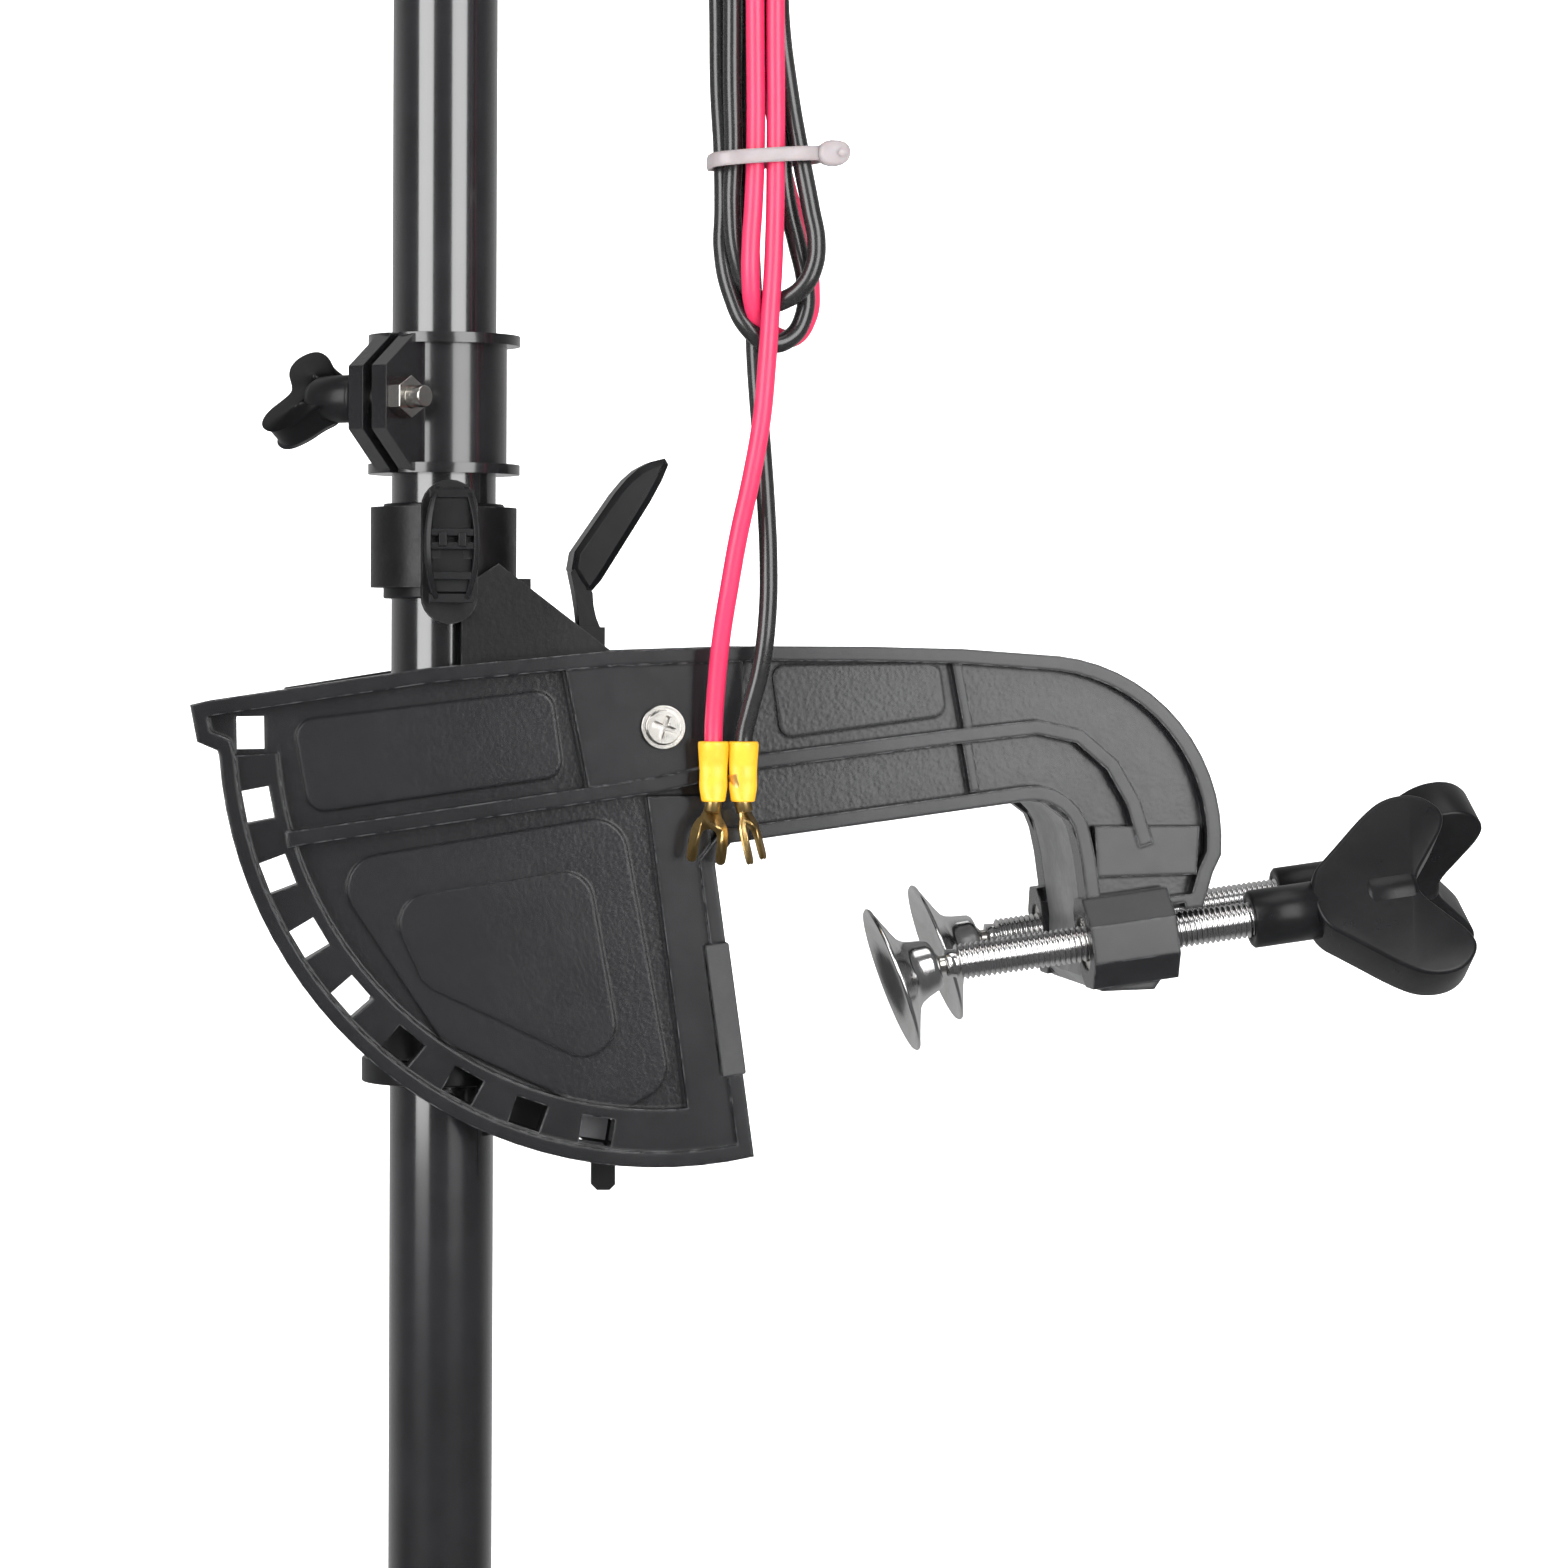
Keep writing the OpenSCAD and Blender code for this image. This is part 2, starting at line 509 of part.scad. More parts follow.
module armature() color([0.5, 0.35, 0.2]) at_motor() difference() {
    union() {
        ring_x(can_r - 12.5, shaft_r, -34, 34);
        ring_x(can_r - 18, shaft_r, -44, 44);
    }
    for (i = [0:11]) rotate([i * 30, 0, 0]) translate([0, 0, can_r - 16]) rod_x(2.2, -35, 35);
}

module commutator() color([0.72, 0.45, 0.2]) at_motor() ring_x(14, shaft_r, 46, 66);
module brushes() color("dimgray") at_motor() for (s = [-1, 1])
    block([50, s > 0 ? 14.4 : -30, -4], [60, s > 0 ? 30 : -14.4, 4]);
module bearings() color("silver") at_motor() {
    ring_x(9, shaft_r + fit, can_front + 4, can_front + 13);
    ring_x(9, shaft_r + fit, can_back - 24, can_back - 14);
}
module shaft_seal() color([0.1, 0.1, 0.1]) at_motor() ring_x(9, shaft_r + fit, can_back - 36, can_back - 27);
module through_bolts() color("silver") at_motor() bolt_circle() {
    rod_x(2.4, can_back - 5.2, can_front + 10);
    rod_x(4, can_back - 9, can_back - 5);
}

module motor_shaft() color("silver") at_motor() difference() {
    rod_x(shaft_r, can_back - 84, can_front + 12);
    translate([can_back - 60, 0, 0]) rod_y(1.5, -9, 9);
}
module drive_pin() color("silver") at_motor() translate([can_back - 60, 0, 0]) rod_y(1.5, -12, 12);
module prop_nut() color("silver") at_motor() difference() {
    translate([can_back - 83, 0, 0]) rotate([0, 90, 0]) cylinder(r = 8.5, h = 7, $fn = 6);
    rod_x(shaft_r, can_back - 90, can_back - 70);
}

module blade() translate([can_back - 62, 0, 0]) rotate([0, 0, 62])
    linear_extrude(height = prop_r, twist = 34, slices = 12, segments = 9, scale = [0.72, 0.55], $fn = 9)
    polygon(blade_section);
blade_section = [[-30, 0], [-22, 2.4], [-8, 3.6], [8, 3.2], [22, 1.4], [30, 0], [20, -0.4], [0, -0.8], [-20, -0.6]];

module propeller() color([0.07, 0.07, 0.08]) at_motor() difference() {
    union() {
        turned_x([[0, can_back - 76], [13, can_back - 76], [17, can_back - 72], [17.5, can_back - 44.5], [0, can_back - 44.5]]);
        for (i = [0:blade_count - 1]) rotate([i * 360 / blade_count, 0, 0]) intersection() {
            blade();
            translate([can_back - 62, 0, 0]) rod_x(prop_r, -40, 40);
        }
    }
    rod_x(shaft_r, can_back - 90, can_back - 30);
    translate([can_back - 60, 0, 0]) rod_y(1.5, -12, 12);
}

// ---- Clamp screws, each about its own screw line in the bracket frame ----

module on_screw(s) in_bracket() translate([near_ball_u + (s > 0 ? far_out : 0), s * screw_y, screw_w]) children();

// Ball end, with the stem that the screw turns on
module screw_ball(s) color("silver") on_screw(s) turned_x(concat(
    [for (a = [-90:14.5:55]) ball_r * [cos(a), sin(a)]], [[stem_r, 3.6], [stem_r, 12], [0, 12]]));
module clamp_screw(s) color("silver") on_screw(s) difference() {
    rod_x(screw_r, 5, 106);
    rod_x(stem_r + fit, 4, 12.5);
}
module swivel_pad(s) color("silver") on_screw(s) rotate([0, -pad_droop, 0]) difference() {
    turned_x([[0, -6.4], [8, -6.4], [12, -7.4], [pad_d / 2 - 0.6, -10.6], [pad_d / 2, -9.6], [12, -5.6], [8, -4.6],
        [7.2, 2.6], [0, 2.6]]);
    turned_x([[0, -4.8], [4.75, -4.8], [4.75, 0.6], [4.2, 3], [0, 3]]);
}
module clamp_knob(s, turn) color([0.07, 0.07, 0.08]) on_screw(s) difference() {
    union() {
        rod_x(9, knob_u, knob_u + 26);
        rotate([turn, 0, 0]) slab(-6.5, 13) polygon([[knob_u + 16, -9], [knob_u + 34, -25], [knob_u + 44, -30.5],
            [knob_u + 58, -30], [knob_u + 68, -24], [knob_u + 70, -18], [knob_u + 54, 0], [knob_u + 70, 18],
            [knob_u + 68, 24], [knob_u + 58, 30], [knob_u + 44, 30.5], [knob_u + 34, 25], [knob_u + 16, 9]]);
    }
    rod_x(screw_r, knob_u - 1, 106);
}
module screw_ball_near() screw_ball(-1);
module screw_ball_far() screw_ball(1);
module clamp_screw_near() clamp_screw(-1);
module clamp_screw_far() clamp_screw(1);
module swivel_pad_near() swivel_pad(-1);
module swivel_pad_far() swivel_pad(1);
module clamp_knob_near() clamp_knob(-1, 20);
module clamp_knob_far() clamp_knob(1, -35);

// ---- Battery leads ----

module red_feed() color([1, 0.25, 0.5]) at_pivot() swept(red_feed_route, lead_r);
module red_tail() color([1, 0.25, 0.5]) at_pivot() swept(red_tail_route, lead_r);
module black_feed() color([0.06, 0.06, 0.06]) at_pivot() swept(black_feed_route, lead_r);
module black_tail() color([0.06, 0.06, 0.06]) at_pivot() swept(black_tail_route, lead_r);

// Outer shape of the folded leads
module lead_hank() color([0.5, 0.15, 0.3]) at_pivot() slab(-60, 17)
    polygon(concat(arc([25.5, 316], 14, 0, 180, 8), arc([25.5, 117], 14, 180, 360, 8)));
module cable_tie() color("white") at_pivot() difference() {
    translate([0, 0, 149]) linear_extrude(4) translate([25.5, -51.5]) polygon(soft_box(15.4, 9.9, 2));
    translate([0, 0, 148]) linear_extrude(6) translate([25.5, -51.5]) polygon(soft_box(14.1, 8.6, 0.4));
}
module crimp_sleeves() color([1, 0.82, 0.2]) at_pivot() for (x = [12.4, 20.4]) translate([x, -44, -20])
    cylinder(r = 3.7, h = 15.4);
module fork_terminals() color([0.75, 0.55, 0.25]) at_pivot()
    for (t = [[12.4, -12], [20.4, 55]]) translate([t[0], -44, -20]) rotate(t[1]) slab(-0.5, 1)
        polygon([[-2.2, 0], [2.2, 0], [2.6, -3], [4.6, -6], [5.2, -15], [3, -16], [2.4, -8.5], [0, -6.6],
            [-2.4, -8.5], [-3, -16], [-5.2, -15], [-4.6, -6], [-2.6, -3]]);

bracket_near_side();
bracket_far_side();
hook_bridge();
transom_plate();
transom_pad();
clamp_inserts();
bracket_screws();
pivot_bolt();
pivot_nut();
hinge_arm();
tension_pin();
brake_shoe();
release_pin();
tension_lever();
release_lever();
lock_block();
hub_bushes();
depth_tube();
head_shell();
head_lid();
speed_switch();
lead_glands();
motor_can();
nose_bell();
tail_bell();
skeg();
magnets();
brushes();
bearings();
shaft_seal();
through_bolts();
depth_collar();
collar_nut();
collar_knob();
collar_bolt();
tiller_arm();
tiller_tube();
twist_grip();
motor_shaft();
armature();
commutator();
drive_pin();
propeller();
prop_nut();
screw_ball_near();
screw_ball_far();
clamp_screw_near();
clamp_screw_far();
clamp_knob_near();
clamp_knob_far();
swivel_pad_near();
swivel_pad_far();
red_feed();
red_tail();
black_feed();
black_tail();
lead_hank();
cable_tie();
crimp_sleeves();
fork_terminals();
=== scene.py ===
"""Looks of a clamp-on trolling motor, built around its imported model."""
import json
import math

import bmesh
import bpy
from mathutils import Matrix, Vector


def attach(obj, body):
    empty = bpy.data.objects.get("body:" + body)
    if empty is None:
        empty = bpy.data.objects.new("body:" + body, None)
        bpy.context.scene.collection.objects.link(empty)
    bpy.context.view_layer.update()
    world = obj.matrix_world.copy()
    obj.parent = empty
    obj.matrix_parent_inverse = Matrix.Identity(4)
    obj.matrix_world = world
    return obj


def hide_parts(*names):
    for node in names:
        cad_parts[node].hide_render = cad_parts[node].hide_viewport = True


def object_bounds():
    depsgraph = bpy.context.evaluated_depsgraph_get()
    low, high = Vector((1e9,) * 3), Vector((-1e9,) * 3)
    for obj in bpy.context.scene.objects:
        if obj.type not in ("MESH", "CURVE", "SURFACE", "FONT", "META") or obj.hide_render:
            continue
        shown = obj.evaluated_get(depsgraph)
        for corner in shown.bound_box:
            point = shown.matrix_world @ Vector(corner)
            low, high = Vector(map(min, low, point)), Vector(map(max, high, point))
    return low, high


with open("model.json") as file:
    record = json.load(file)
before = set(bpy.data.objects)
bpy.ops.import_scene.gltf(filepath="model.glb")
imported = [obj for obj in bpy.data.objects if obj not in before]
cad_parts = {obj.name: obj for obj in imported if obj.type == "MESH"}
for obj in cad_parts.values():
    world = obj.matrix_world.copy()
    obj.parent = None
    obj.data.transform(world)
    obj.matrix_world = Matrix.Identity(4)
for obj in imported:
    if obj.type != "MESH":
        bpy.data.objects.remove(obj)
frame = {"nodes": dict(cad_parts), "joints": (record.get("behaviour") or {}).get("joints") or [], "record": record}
cad_lowest, cad_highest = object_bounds()

scene = bpy.context.scene
record = frame["record"]
joints = {joint["name"]: joint for joint in frame["joints"]}
nodes = frame["nodes"]

# Shapes are drawn in millimetres, which MM turns into metres. The lead's diameter is in metres.
MM = 0.001
LEAD_DIAMETER = 0.005
LEAD_END_Y = -44
THREAD_PITCH = 1.5
AXIS_RADIUS = 0.02

# ---- Places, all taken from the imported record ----

rake = math.atan2(record["mounts"][0]["axis"][2], record["mounts"][0]["axis"][0])
tube_off = (joints["steer"]["pos_m"][0] - joints["tilt"]["pos_m"][0]) / MM


def turned(degrees, axis):
    """A turn about one axis."""
    return Matrix.Rotation(math.radians(degrees), 4, axis)


def at_joint(name):
    """A place in millimetres, counted from a joint."""
    return Matrix.Translation(joints[name]["pos_m"]) @ Matrix.Scale(MM, 4)


AT_HINGE = at_joint("tilt")
AT_TUBE = AT_HINGE @ Matrix.Translation((tube_off, 0, 0))
AT_MOTOR = at_joint("motor_spin")
ON_NEAR_SCREW = at_joint("near_turn") @ Matrix.Rotation(-rake, 4, "Y")
ON_FAR_SCREW = at_joint("far_turn") @ Matrix.Rotation(-rake, 4, "Y")
ON_COLLAR_SCREW = at_joint("collar_turn") @ turned(225, "Z")


def from_hinge(x, y, z):
    """A point in metres from millimetres counted from the hinge bolt."""
    return AT_HINGE @ Vector((x, y, z))


# ---- Camera ----

def make_camera():
    """A long lens a little to the left of the bracket's side, looking slightly down."""
    eye = Vector((-0.16865, -1.306, 0.09654))
    yaw, pitch, roll = math.radians(8.1), math.radians(1.6), math.radians(0.33)
    lens_mm, sensor_mm = 109.06, 36
    ahead = Vector((math.sin(yaw) * math.cos(pitch), math.cos(yaw) * math.cos(pitch),
                    -math.sin(pitch)))
    right = ahead.cross(Vector((0, 0, 1))).normalized()
    up = right.cross(ahead)
    turned_up = up * math.cos(roll) - right * math.sin(roll)
    turned_right = right * math.cos(roll) + up * math.sin(roll)
    camera = bpy.data.objects.new("camera", bpy.data.cameras.new("camera"))
    camera.data.lens, camera.data.sensor_width = lens_mm, sensor_mm
    camera.matrix_world = Matrix.Translation(eye) @ Matrix(
        (turned_right, turned_up, -ahead)).transposed().to_4x4()
    scene.collection.objects.link(camera)
    scene.camera = camera


make_camera()


# ---- Shader groups: effects that several finishes share ----

MIX_SHARE, MIX_FIRST_VALUE, MIX_SECOND_VALUE, MIX_FIRST_COLOUR, MIX_SECOND_COLOUR = 0, 2, 3, 6, 7


def new_group(name, inputs, outputs):
    """An empty node group: inputs and outputs are (name, kind, first value)."""
    group = bpy.data.node_groups.new(name, "ShaderNodeTree")
    for label, kind, value in inputs:
        socket = group.interface.new_socket(label, in_out="INPUT", socket_type="NodeSocket" + kind)
        if value is not None:
            socket.default_value = value
    for label, kind in outputs:
        group.interface.new_socket(label, in_out="OUTPUT", socket_type="NodeSocket" + kind)
    return group, group.nodes.new("NodeGroupInput"), group.nodes.new("NodeGroupOutput")


def noise(group, where, scale, detail=4, roughness=0.55):
    """A noise texture on the piece's own coordinates; scale may be a socket."""
    node = group.nodes.new("ShaderNodeTexNoise")
    node.inputs["Detail"].default_value = detail
    node.inputs["Roughness"].default_value = roughness
    group.links.new(where, node.inputs["Vector"])
    if isinstance(scale, (int, float)):
        node.inputs["Scale"].default_value = scale
    else:
        group.links.new(scale, node.inputs["Scale"])
    return node.outputs["Fac"]


def maths(group, operation, a, b, clamp=False):
    """One Math node; a and b are sockets or numbers."""
    node = group.nodes.new("ShaderNodeMath")
    node.operation, node.use_clamp = operation, clamp
    for value, socket in zip((a, b), node.inputs):
        if isinstance(value, (int, float)):
            socket.default_value = value
        else:
            group.links.new(value, socket)
    return node.outputs[0]


def ramp(group, value, low, high):
    """0 below low, 1 above high and smooth between them."""
    node = group.nodes.new("ShaderNodeMapRange")
    node.interpolation_type = "SMOOTHSTEP"
    node.inputs["From Min"].default_value = low
    node.inputs["From Max"].default_value = high
    group.links.new(value, node.inputs["Value"])
    return node.outputs["Result"]


def mix_colour(group, share, first, second):
    """One Mix node for colours: share and both colours are sockets or constants."""
    node = group.nodes.new("ShaderNodeMix")
    node.data_type = "RGBA"
    for value, place in ((share, MIX_SHARE), (first, MIX_FIRST_COLOUR), (second, MIX_SECOND_COLOUR)):
        if isinstance(value, (int, float)):
            node.inputs[place].default_value = value
        elif isinstance(value, tuple):
            node.inputs[place].default_value = (*value, 1)
        else:
            group.links.new(value, node.inputs[place])
    return node.outputs[2]


def own_place(group):
    """The piece's own coordinates, so that a pattern moves with it."""
    return group.nodes.new("ShaderNodeTexCoord").outputs["Object"]


def build_uneven_gloss():
    """Roughness that wanders with handling marks and faint smears."""
    group, given, out = new_group(
        "uneven_gloss",
        [("Roughness", "Float", 0.4), ("Spread", "Float", 0.1), ("Scale", "Float", 60)],
        [("Roughness", "Float")])
    where = own_place(group)
    broad = noise(group, where, given.outputs["Scale"], 5, 0.6)
    fine = noise(group, where, maths(group, "MULTIPLY", given.outputs["Scale"], 9), 3)
    both = maths(group, "ADD", maths(group, "MULTIPLY", broad, 0.65),
                 maths(group, "MULTIPLY", fine, 0.35))
    swing = maths(group, "MULTIPLY", maths(group, "SUBTRACT", both, 0.5), given.outputs["Spread"])
    wandering = maths(group, "ADD", given.outputs["Roughness"], maths(group, "MULTIPLY", swing, 4), True)
    group.links.new(wandering, out.inputs["Roughness"])
    return group


def build_mottled_colour():
    """Two close colours in soft patches, with a fine speck."""
    group, given, out = new_group(
        "mottled_colour",
        [("Colour", "Color", None), ("Patch", "Color", None), ("Scale", "Float", 40),
         ("Speck", "Float", 0.1)],
        [("Colour", "Color")])
    where = own_place(group)
    patches = ramp(group, noise(group, where, given.outputs["Scale"], 6, 0.6), 0.38, 0.64)
    finer = maths(group, "MULTIPLY", given.outputs["Scale"], 30)
    specks = ramp(group, noise(group, where, finer, 2), 0.55, 0.75)
    share = maths(group, "ADD", maths(group, "MULTIPLY", patches, 0.7),
                 maths(group, "MULTIPLY", specks, given.outputs["Speck"]), True)
    group.links.new(mix_colour(group, share, given.outputs["Colour"], given.outputs["Patch"]),
                    out.inputs["Colour"])
    return group


def build_fine_grain():
    """Height of a moulded or sprayed skin: grain with a slow orange peel under it."""
    group, given, out = new_group(
        "fine_grain",
        [("Grain", "Float", 1500), ("Peel", "Float", 250), ("Share", "Float", 0.5)],
        [("Height", "Float")])
    where = own_place(group)
    grain = noise(group, where, given.outputs["Grain"], 3)
    peel = noise(group, where, given.outputs["Peel"], 2, 0.4)
    node = group.nodes.new("ShaderNodeMix")
    group.links.new(given.outputs["Share"], node.inputs[MIX_SHARE])
    group.links.new(grain, node.inputs[MIX_FIRST_VALUE])
    group.links.new(peel, node.inputs[MIX_SECOND_VALUE])
    group.links.new(node.outputs[0], out.inputs["Height"])
    return group


def rounded_normal(tree, radius, samples):
    """The normal as it would be if corners had this radius, in metres."""
    node = tree.nodes.new("ShaderNodeBevel")
    node.samples = samples
    node.inputs["Radius"].default_value = radius
    return node.outputs["Normal"]


def build_painted_edge_highlight():
    """A lighter colour painted in a broken line along the corners: painted edge highlights."""
    group, given, out = new_group(
        "painted_edge_highlight",
        [("Colour", "Color", None), ("Worn", "Color", None), ("Amount", "Float", 0.5),
         ("Scale", "Float", 300)],
        [("Colour", "Color")])
    agreement = group.nodes.new("ShaderNodeVectorMath")
    agreement.operation = "DOT_PRODUCT"
    group.links.new(rounded_normal(group, 0.0007, 4), agreement.inputs[0])
    group.links.new(group.nodes.new("ShaderNodeNewGeometry").outputs["Normal"], agreement.inputs[1])
    edge = ramp(group, maths(group, "SUBTRACT", 1, agreement.outputs["Value"]), 0.01, 0.16)
    broken = ramp(group, noise(group, own_place(group), given.outputs["Scale"], 5, 0.65), 0.42, 0.62)
    mask = maths(group, "MULTIPLY", maths(group, "MULTIPLY", edge, broken), given.outputs["Amount"], True)
    group.links.new(mix_colour(group, mask, given.outputs["Colour"], given.outputs["Worn"]),
                    out.inputs["Colour"])
    return group


def build_cast_pockets():
    """Mask and height of the pebbled floors between a casting's raised ribs."""
    group, given, out = new_group(
        "cast_pockets",
        [("Depth", "Float", 0.031), ("Pebble", "Float", 900)],
        [("Mask", "Float"), ("Height", "Float")])
    where = own_place(group)
    split = group.nodes.new("ShaderNodeSeparateXYZ")
    group.links.new(where, split.inputs[0])
    sunk = maths(group, "ABSOLUTE", split.outputs["Y"], 0)
    floor = ramp(group, maths(group, "SUBTRACT", given.outputs["Depth"], sunk), 0, 0.0012)
    facing = group.nodes.new("ShaderNodeSeparateXYZ")
    group.links.new(group.nodes.new("ShaderNodeNewGeometry").outputs["True Normal"], facing.inputs[0])
    flat = ramp(group, maths(group, "ABSOLUTE", facing.outputs["Y"], 0), 0.9, 0.98)
    mask = maths(group, "MULTIPLY", floor, flat, True)
    pebbles = group.nodes.new("ShaderNodeTexVoronoi")
    pebbles.feature = "SMOOTH_F1"
    group.links.new(where, pebbles.inputs["Vector"])
    group.links.new(given.outputs["Pebble"], pebbles.inputs["Scale"])
    rough = noise(group, where, 260, 4)
    height = maths(group, "ADD", maths(group, "MULTIPLY", pebbles.outputs["Distance"], -0.8),
                  maths(group, "MULTIPLY", rough, 0.6))
    group.links.new(mask, out.inputs["Mask"])
    group.links.new(maths(group, "MULTIPLY", height, mask), out.inputs["Height"])
    return group


UNEVEN_GLOSS = build_uneven_gloss()
MOTTLED_COLOUR = build_mottled_colour()
FINE_GRAIN = build_fine_grain()
PAINTED_EDGE_HIGHLIGHT = build_painted_edge_highlight()
CAST_POCKETS = build_cast_pockets()


# ---- Finishes ----

def place_group(tree, group, **values):
    """A group node with its own values; sockets are linked, the rest are set."""
    node = tree.nodes.new("ShaderNodeGroup")
    node.node_tree = group
    for label, value in values.items():
        socket = node.inputs[label]
        if isinstance(value, bpy.types.NodeSocket):
            tree.links.new(value, socket)
        elif isinstance(value, tuple):
            socket.default_value = (*value, 1)
        else:
            socket.default_value = value
    return node


def finish(name, colour, patch, roughness=0.4, spread=0.1, smears=60, mottle=40, speck=0.1, metal=0.0,
           grain=1500, peel=250, peel_share=0.5, bump=0.1, bump_depth=0.0002, edge_highlight=None, highlight_amount=0.4,
           **shader):
    """A material from the shared groups; shader sets the Principled node's own sockets."""
    material = bpy.data.materials.new(name)
    material.use_nodes = True
    tree = material.node_tree
    principled = tree.nodes["Principled BSDF"]
    shown = place_group(tree, MOTTLED_COLOUR, Colour=colour, Patch=patch, Scale=mottle,
                        Speck=speck).outputs["Colour"]
    # Painted edge highlights: a lighter colour in a broken line along the corners.
    if edge_highlight:
        shown = place_group(tree, PAINTED_EDGE_HIGHLIGHT, Colour=shown, Worn=edge_highlight, Amount=highlight_amount).outputs["Colour"]
    tree.links.new(shown, principled.inputs["Base Color"])
    gloss = place_group(tree, UNEVEN_GLOSS, Roughness=roughness, Spread=spread, Scale=smears)
    tree.links.new(gloss.outputs["Roughness"], principled.inputs["Roughness"])
    principled.inputs["Metallic"].default_value = metal
    height = place_group(tree, FINE_GRAIN, Grain=grain, Peel=peel, Share=peel_share)
    relief = tree.nodes.new("ShaderNodeBump")
    relief.name = "relief"
    relief.inputs["Strength"].default_value = bump
    relief.inputs["Distance"].default_value = bump_depth
    tree.links.new(height.outputs["Height"], relief.inputs["Height"])
    tree.links.new(relief.outputs["Normal"], principled.inputs["Normal"])
    for label, value in shader.items():
        principled.inputs[label.replace("_", " ")].default_value = value
    return material


def cast_finish():
    """The bracket's coated die-casting: smooth ribs, pebbled pocket floors with a painted sheen, and painted edge
    highlights along the corners.
    """
    # The light grey is painted along the corners as edge highlights.
    skin, mottle_and_floor_sheen, highlight_grey = (0.0065, 0.0065, 0.0072), (0.0095, 0.0095, 0.0105), (0.2, 0.2, 0.205)
    material = finish("cast_black", skin, mottle_and_floor_sheen, roughness=0.22, spread=0.06, smears=35,
                      grain=2600, peel=420, peel_share=0.6, bump=0.08, edge_highlight=highlight_grey, highlight_amount=0.42,
                      Coat_Weight=0.2, Coat_Roughness=0.22, IOR=1.42)
    tree = material.node_tree
    principled = tree.nodes["Principled BSDF"]
    pockets = place_group(tree, CAST_POCKETS, Depth=0.0315)
    before = principled.inputs["Base Color"].links[0].from_socket
    # Pocket floors take the lighter second colour: a painted sheen in place of the light their flat faces reflect.
    # The same colour also mottles the skin at random.
    tree.links.new(mix_colour(tree, pockets.outputs["Mask"], before, mottle_and_floor_sheen),
                   principled.inputs["Base Color"])
    tree.links.new(rounded_normal(tree, 0.0013, 6), tree.nodes["relief"].inputs["Normal"])
    pebbled = tree.nodes.new("ShaderNodeBump")
    pebbled.inputs["Strength"].default_value = 0.12
    pebbled.inputs["Distance"].default_value = 0.0004
    tree.links.new(pockets.outputs["Height"], pebbled.inputs["Height"])
    tree.links.new(tree.nodes["relief"].outputs["Normal"], pebbled.inputs["Normal"])
    tree.links.new(pebbled.outputs["Normal"], principled.inputs["Normal"])
    return material


CAST_BLACK = cast_finish()
# The grey at the arm's corners is a painted edge highlight.
ARM_BLACK = finish(
    "arm_black", (0.004, 0.004, 0.0045), (0.009, 0.0085, 0.009), roughness=0.36, spread=0.12, smears=90,
    grain=700, peel=260, bump=0.22, bump_depth=0.0004, edge_highlight=(0.1, 0.1, 0.1), highlight_amount=0.35, IOR=1.34)
NYLON_BLACK = finish(
    "nylon_black", (0.0045, 0.0045, 0.005), (0.0075, 0.0075, 0.0082), roughness=0.31, spread=0.06,
    grain=2200, peel=500, bump=0.12, IOR=1.31)
COLLAR_GLOSS = finish(
    "collar_gloss", (0.0055, 0.0055, 0.006), (0.008, 0.008, 0.0088), roughness=0.24, spread=0.05,
    grain=2200, peel=400, bump=0.04, Coat_Weight=0.8, Coat_Roughness=0.13, Coat_IOR=1.55, IOR=1.4)
# Light grey as a painted reflection: the hook's inner faces are the bracket's black paint, catching the pale floor
# at a grazing angle.
HOOK_PAINTED_SHEEN = finish(
    "hook_painted_sheen", (0.1, 0.1, 0.102), (0.16, 0.16, 0.162), roughness=0.34, spread=0.1, smears=50,
    mottle=60, speck=0.3, grain=1900, bump=0.15)
TUBE_BLACK = finish(
    "tube_gloss", (0.006, 0.006, 0.0065), (0.009, 0.009, 0.01), roughness=0.2, spread=0.04, smears=25,
    grain=900, peel=130, peel_share=0.8, bump=0.012,
    Coat_Weight=1.0, Coat_Roughness=0.1, Coat_IOR=1.6, IOR=1.5)
UNIT_BLACK = finish(
    "unit_black", (0.012, 0.012, 0.014), (0.02, 0.02, 0.022), roughness=0.3, spread=0.08,
    grain=1800, peel=300, bump=0.15, Coat_Weight=0.3, Coat_Roughness=0.2)
PAD_GREY = finish(
    "pad_grey", (0.026, 0.026, 0.027), (0.036, 0.036, 0.037), roughness=0.62, spread=0.12, speck=0.4,
    grain=1200, bump=0.3)
# The lighter grey at the block's corners is a painted edge highlight.
LOCK_GREY = finish(
    "lock_grey", (0.1, 0.1, 0.106), (0.13, 0.13, 0.136), roughness=0.5, spread=0.1,
    grain=900, bump=0.3, edge_highlight=(0.25, 0.25, 0.25))
ZINC = finish(
    "zinc_plate", (0.66, 0.64, 0.6), (0.5, 0.48, 0.45), roughness=0.22, spread=0.08, metal=1.0,
    smears=120, mottle=120, grain=3000, bump=0.08)
CHROME = finish(
    "chrome", (0.74, 0.74, 0.74), (0.66, 0.65, 0.64), roughness=0.17, spread=0.05, metal=1.0,
    smears=90, mottle=150, grain=2500, bump=0.05)
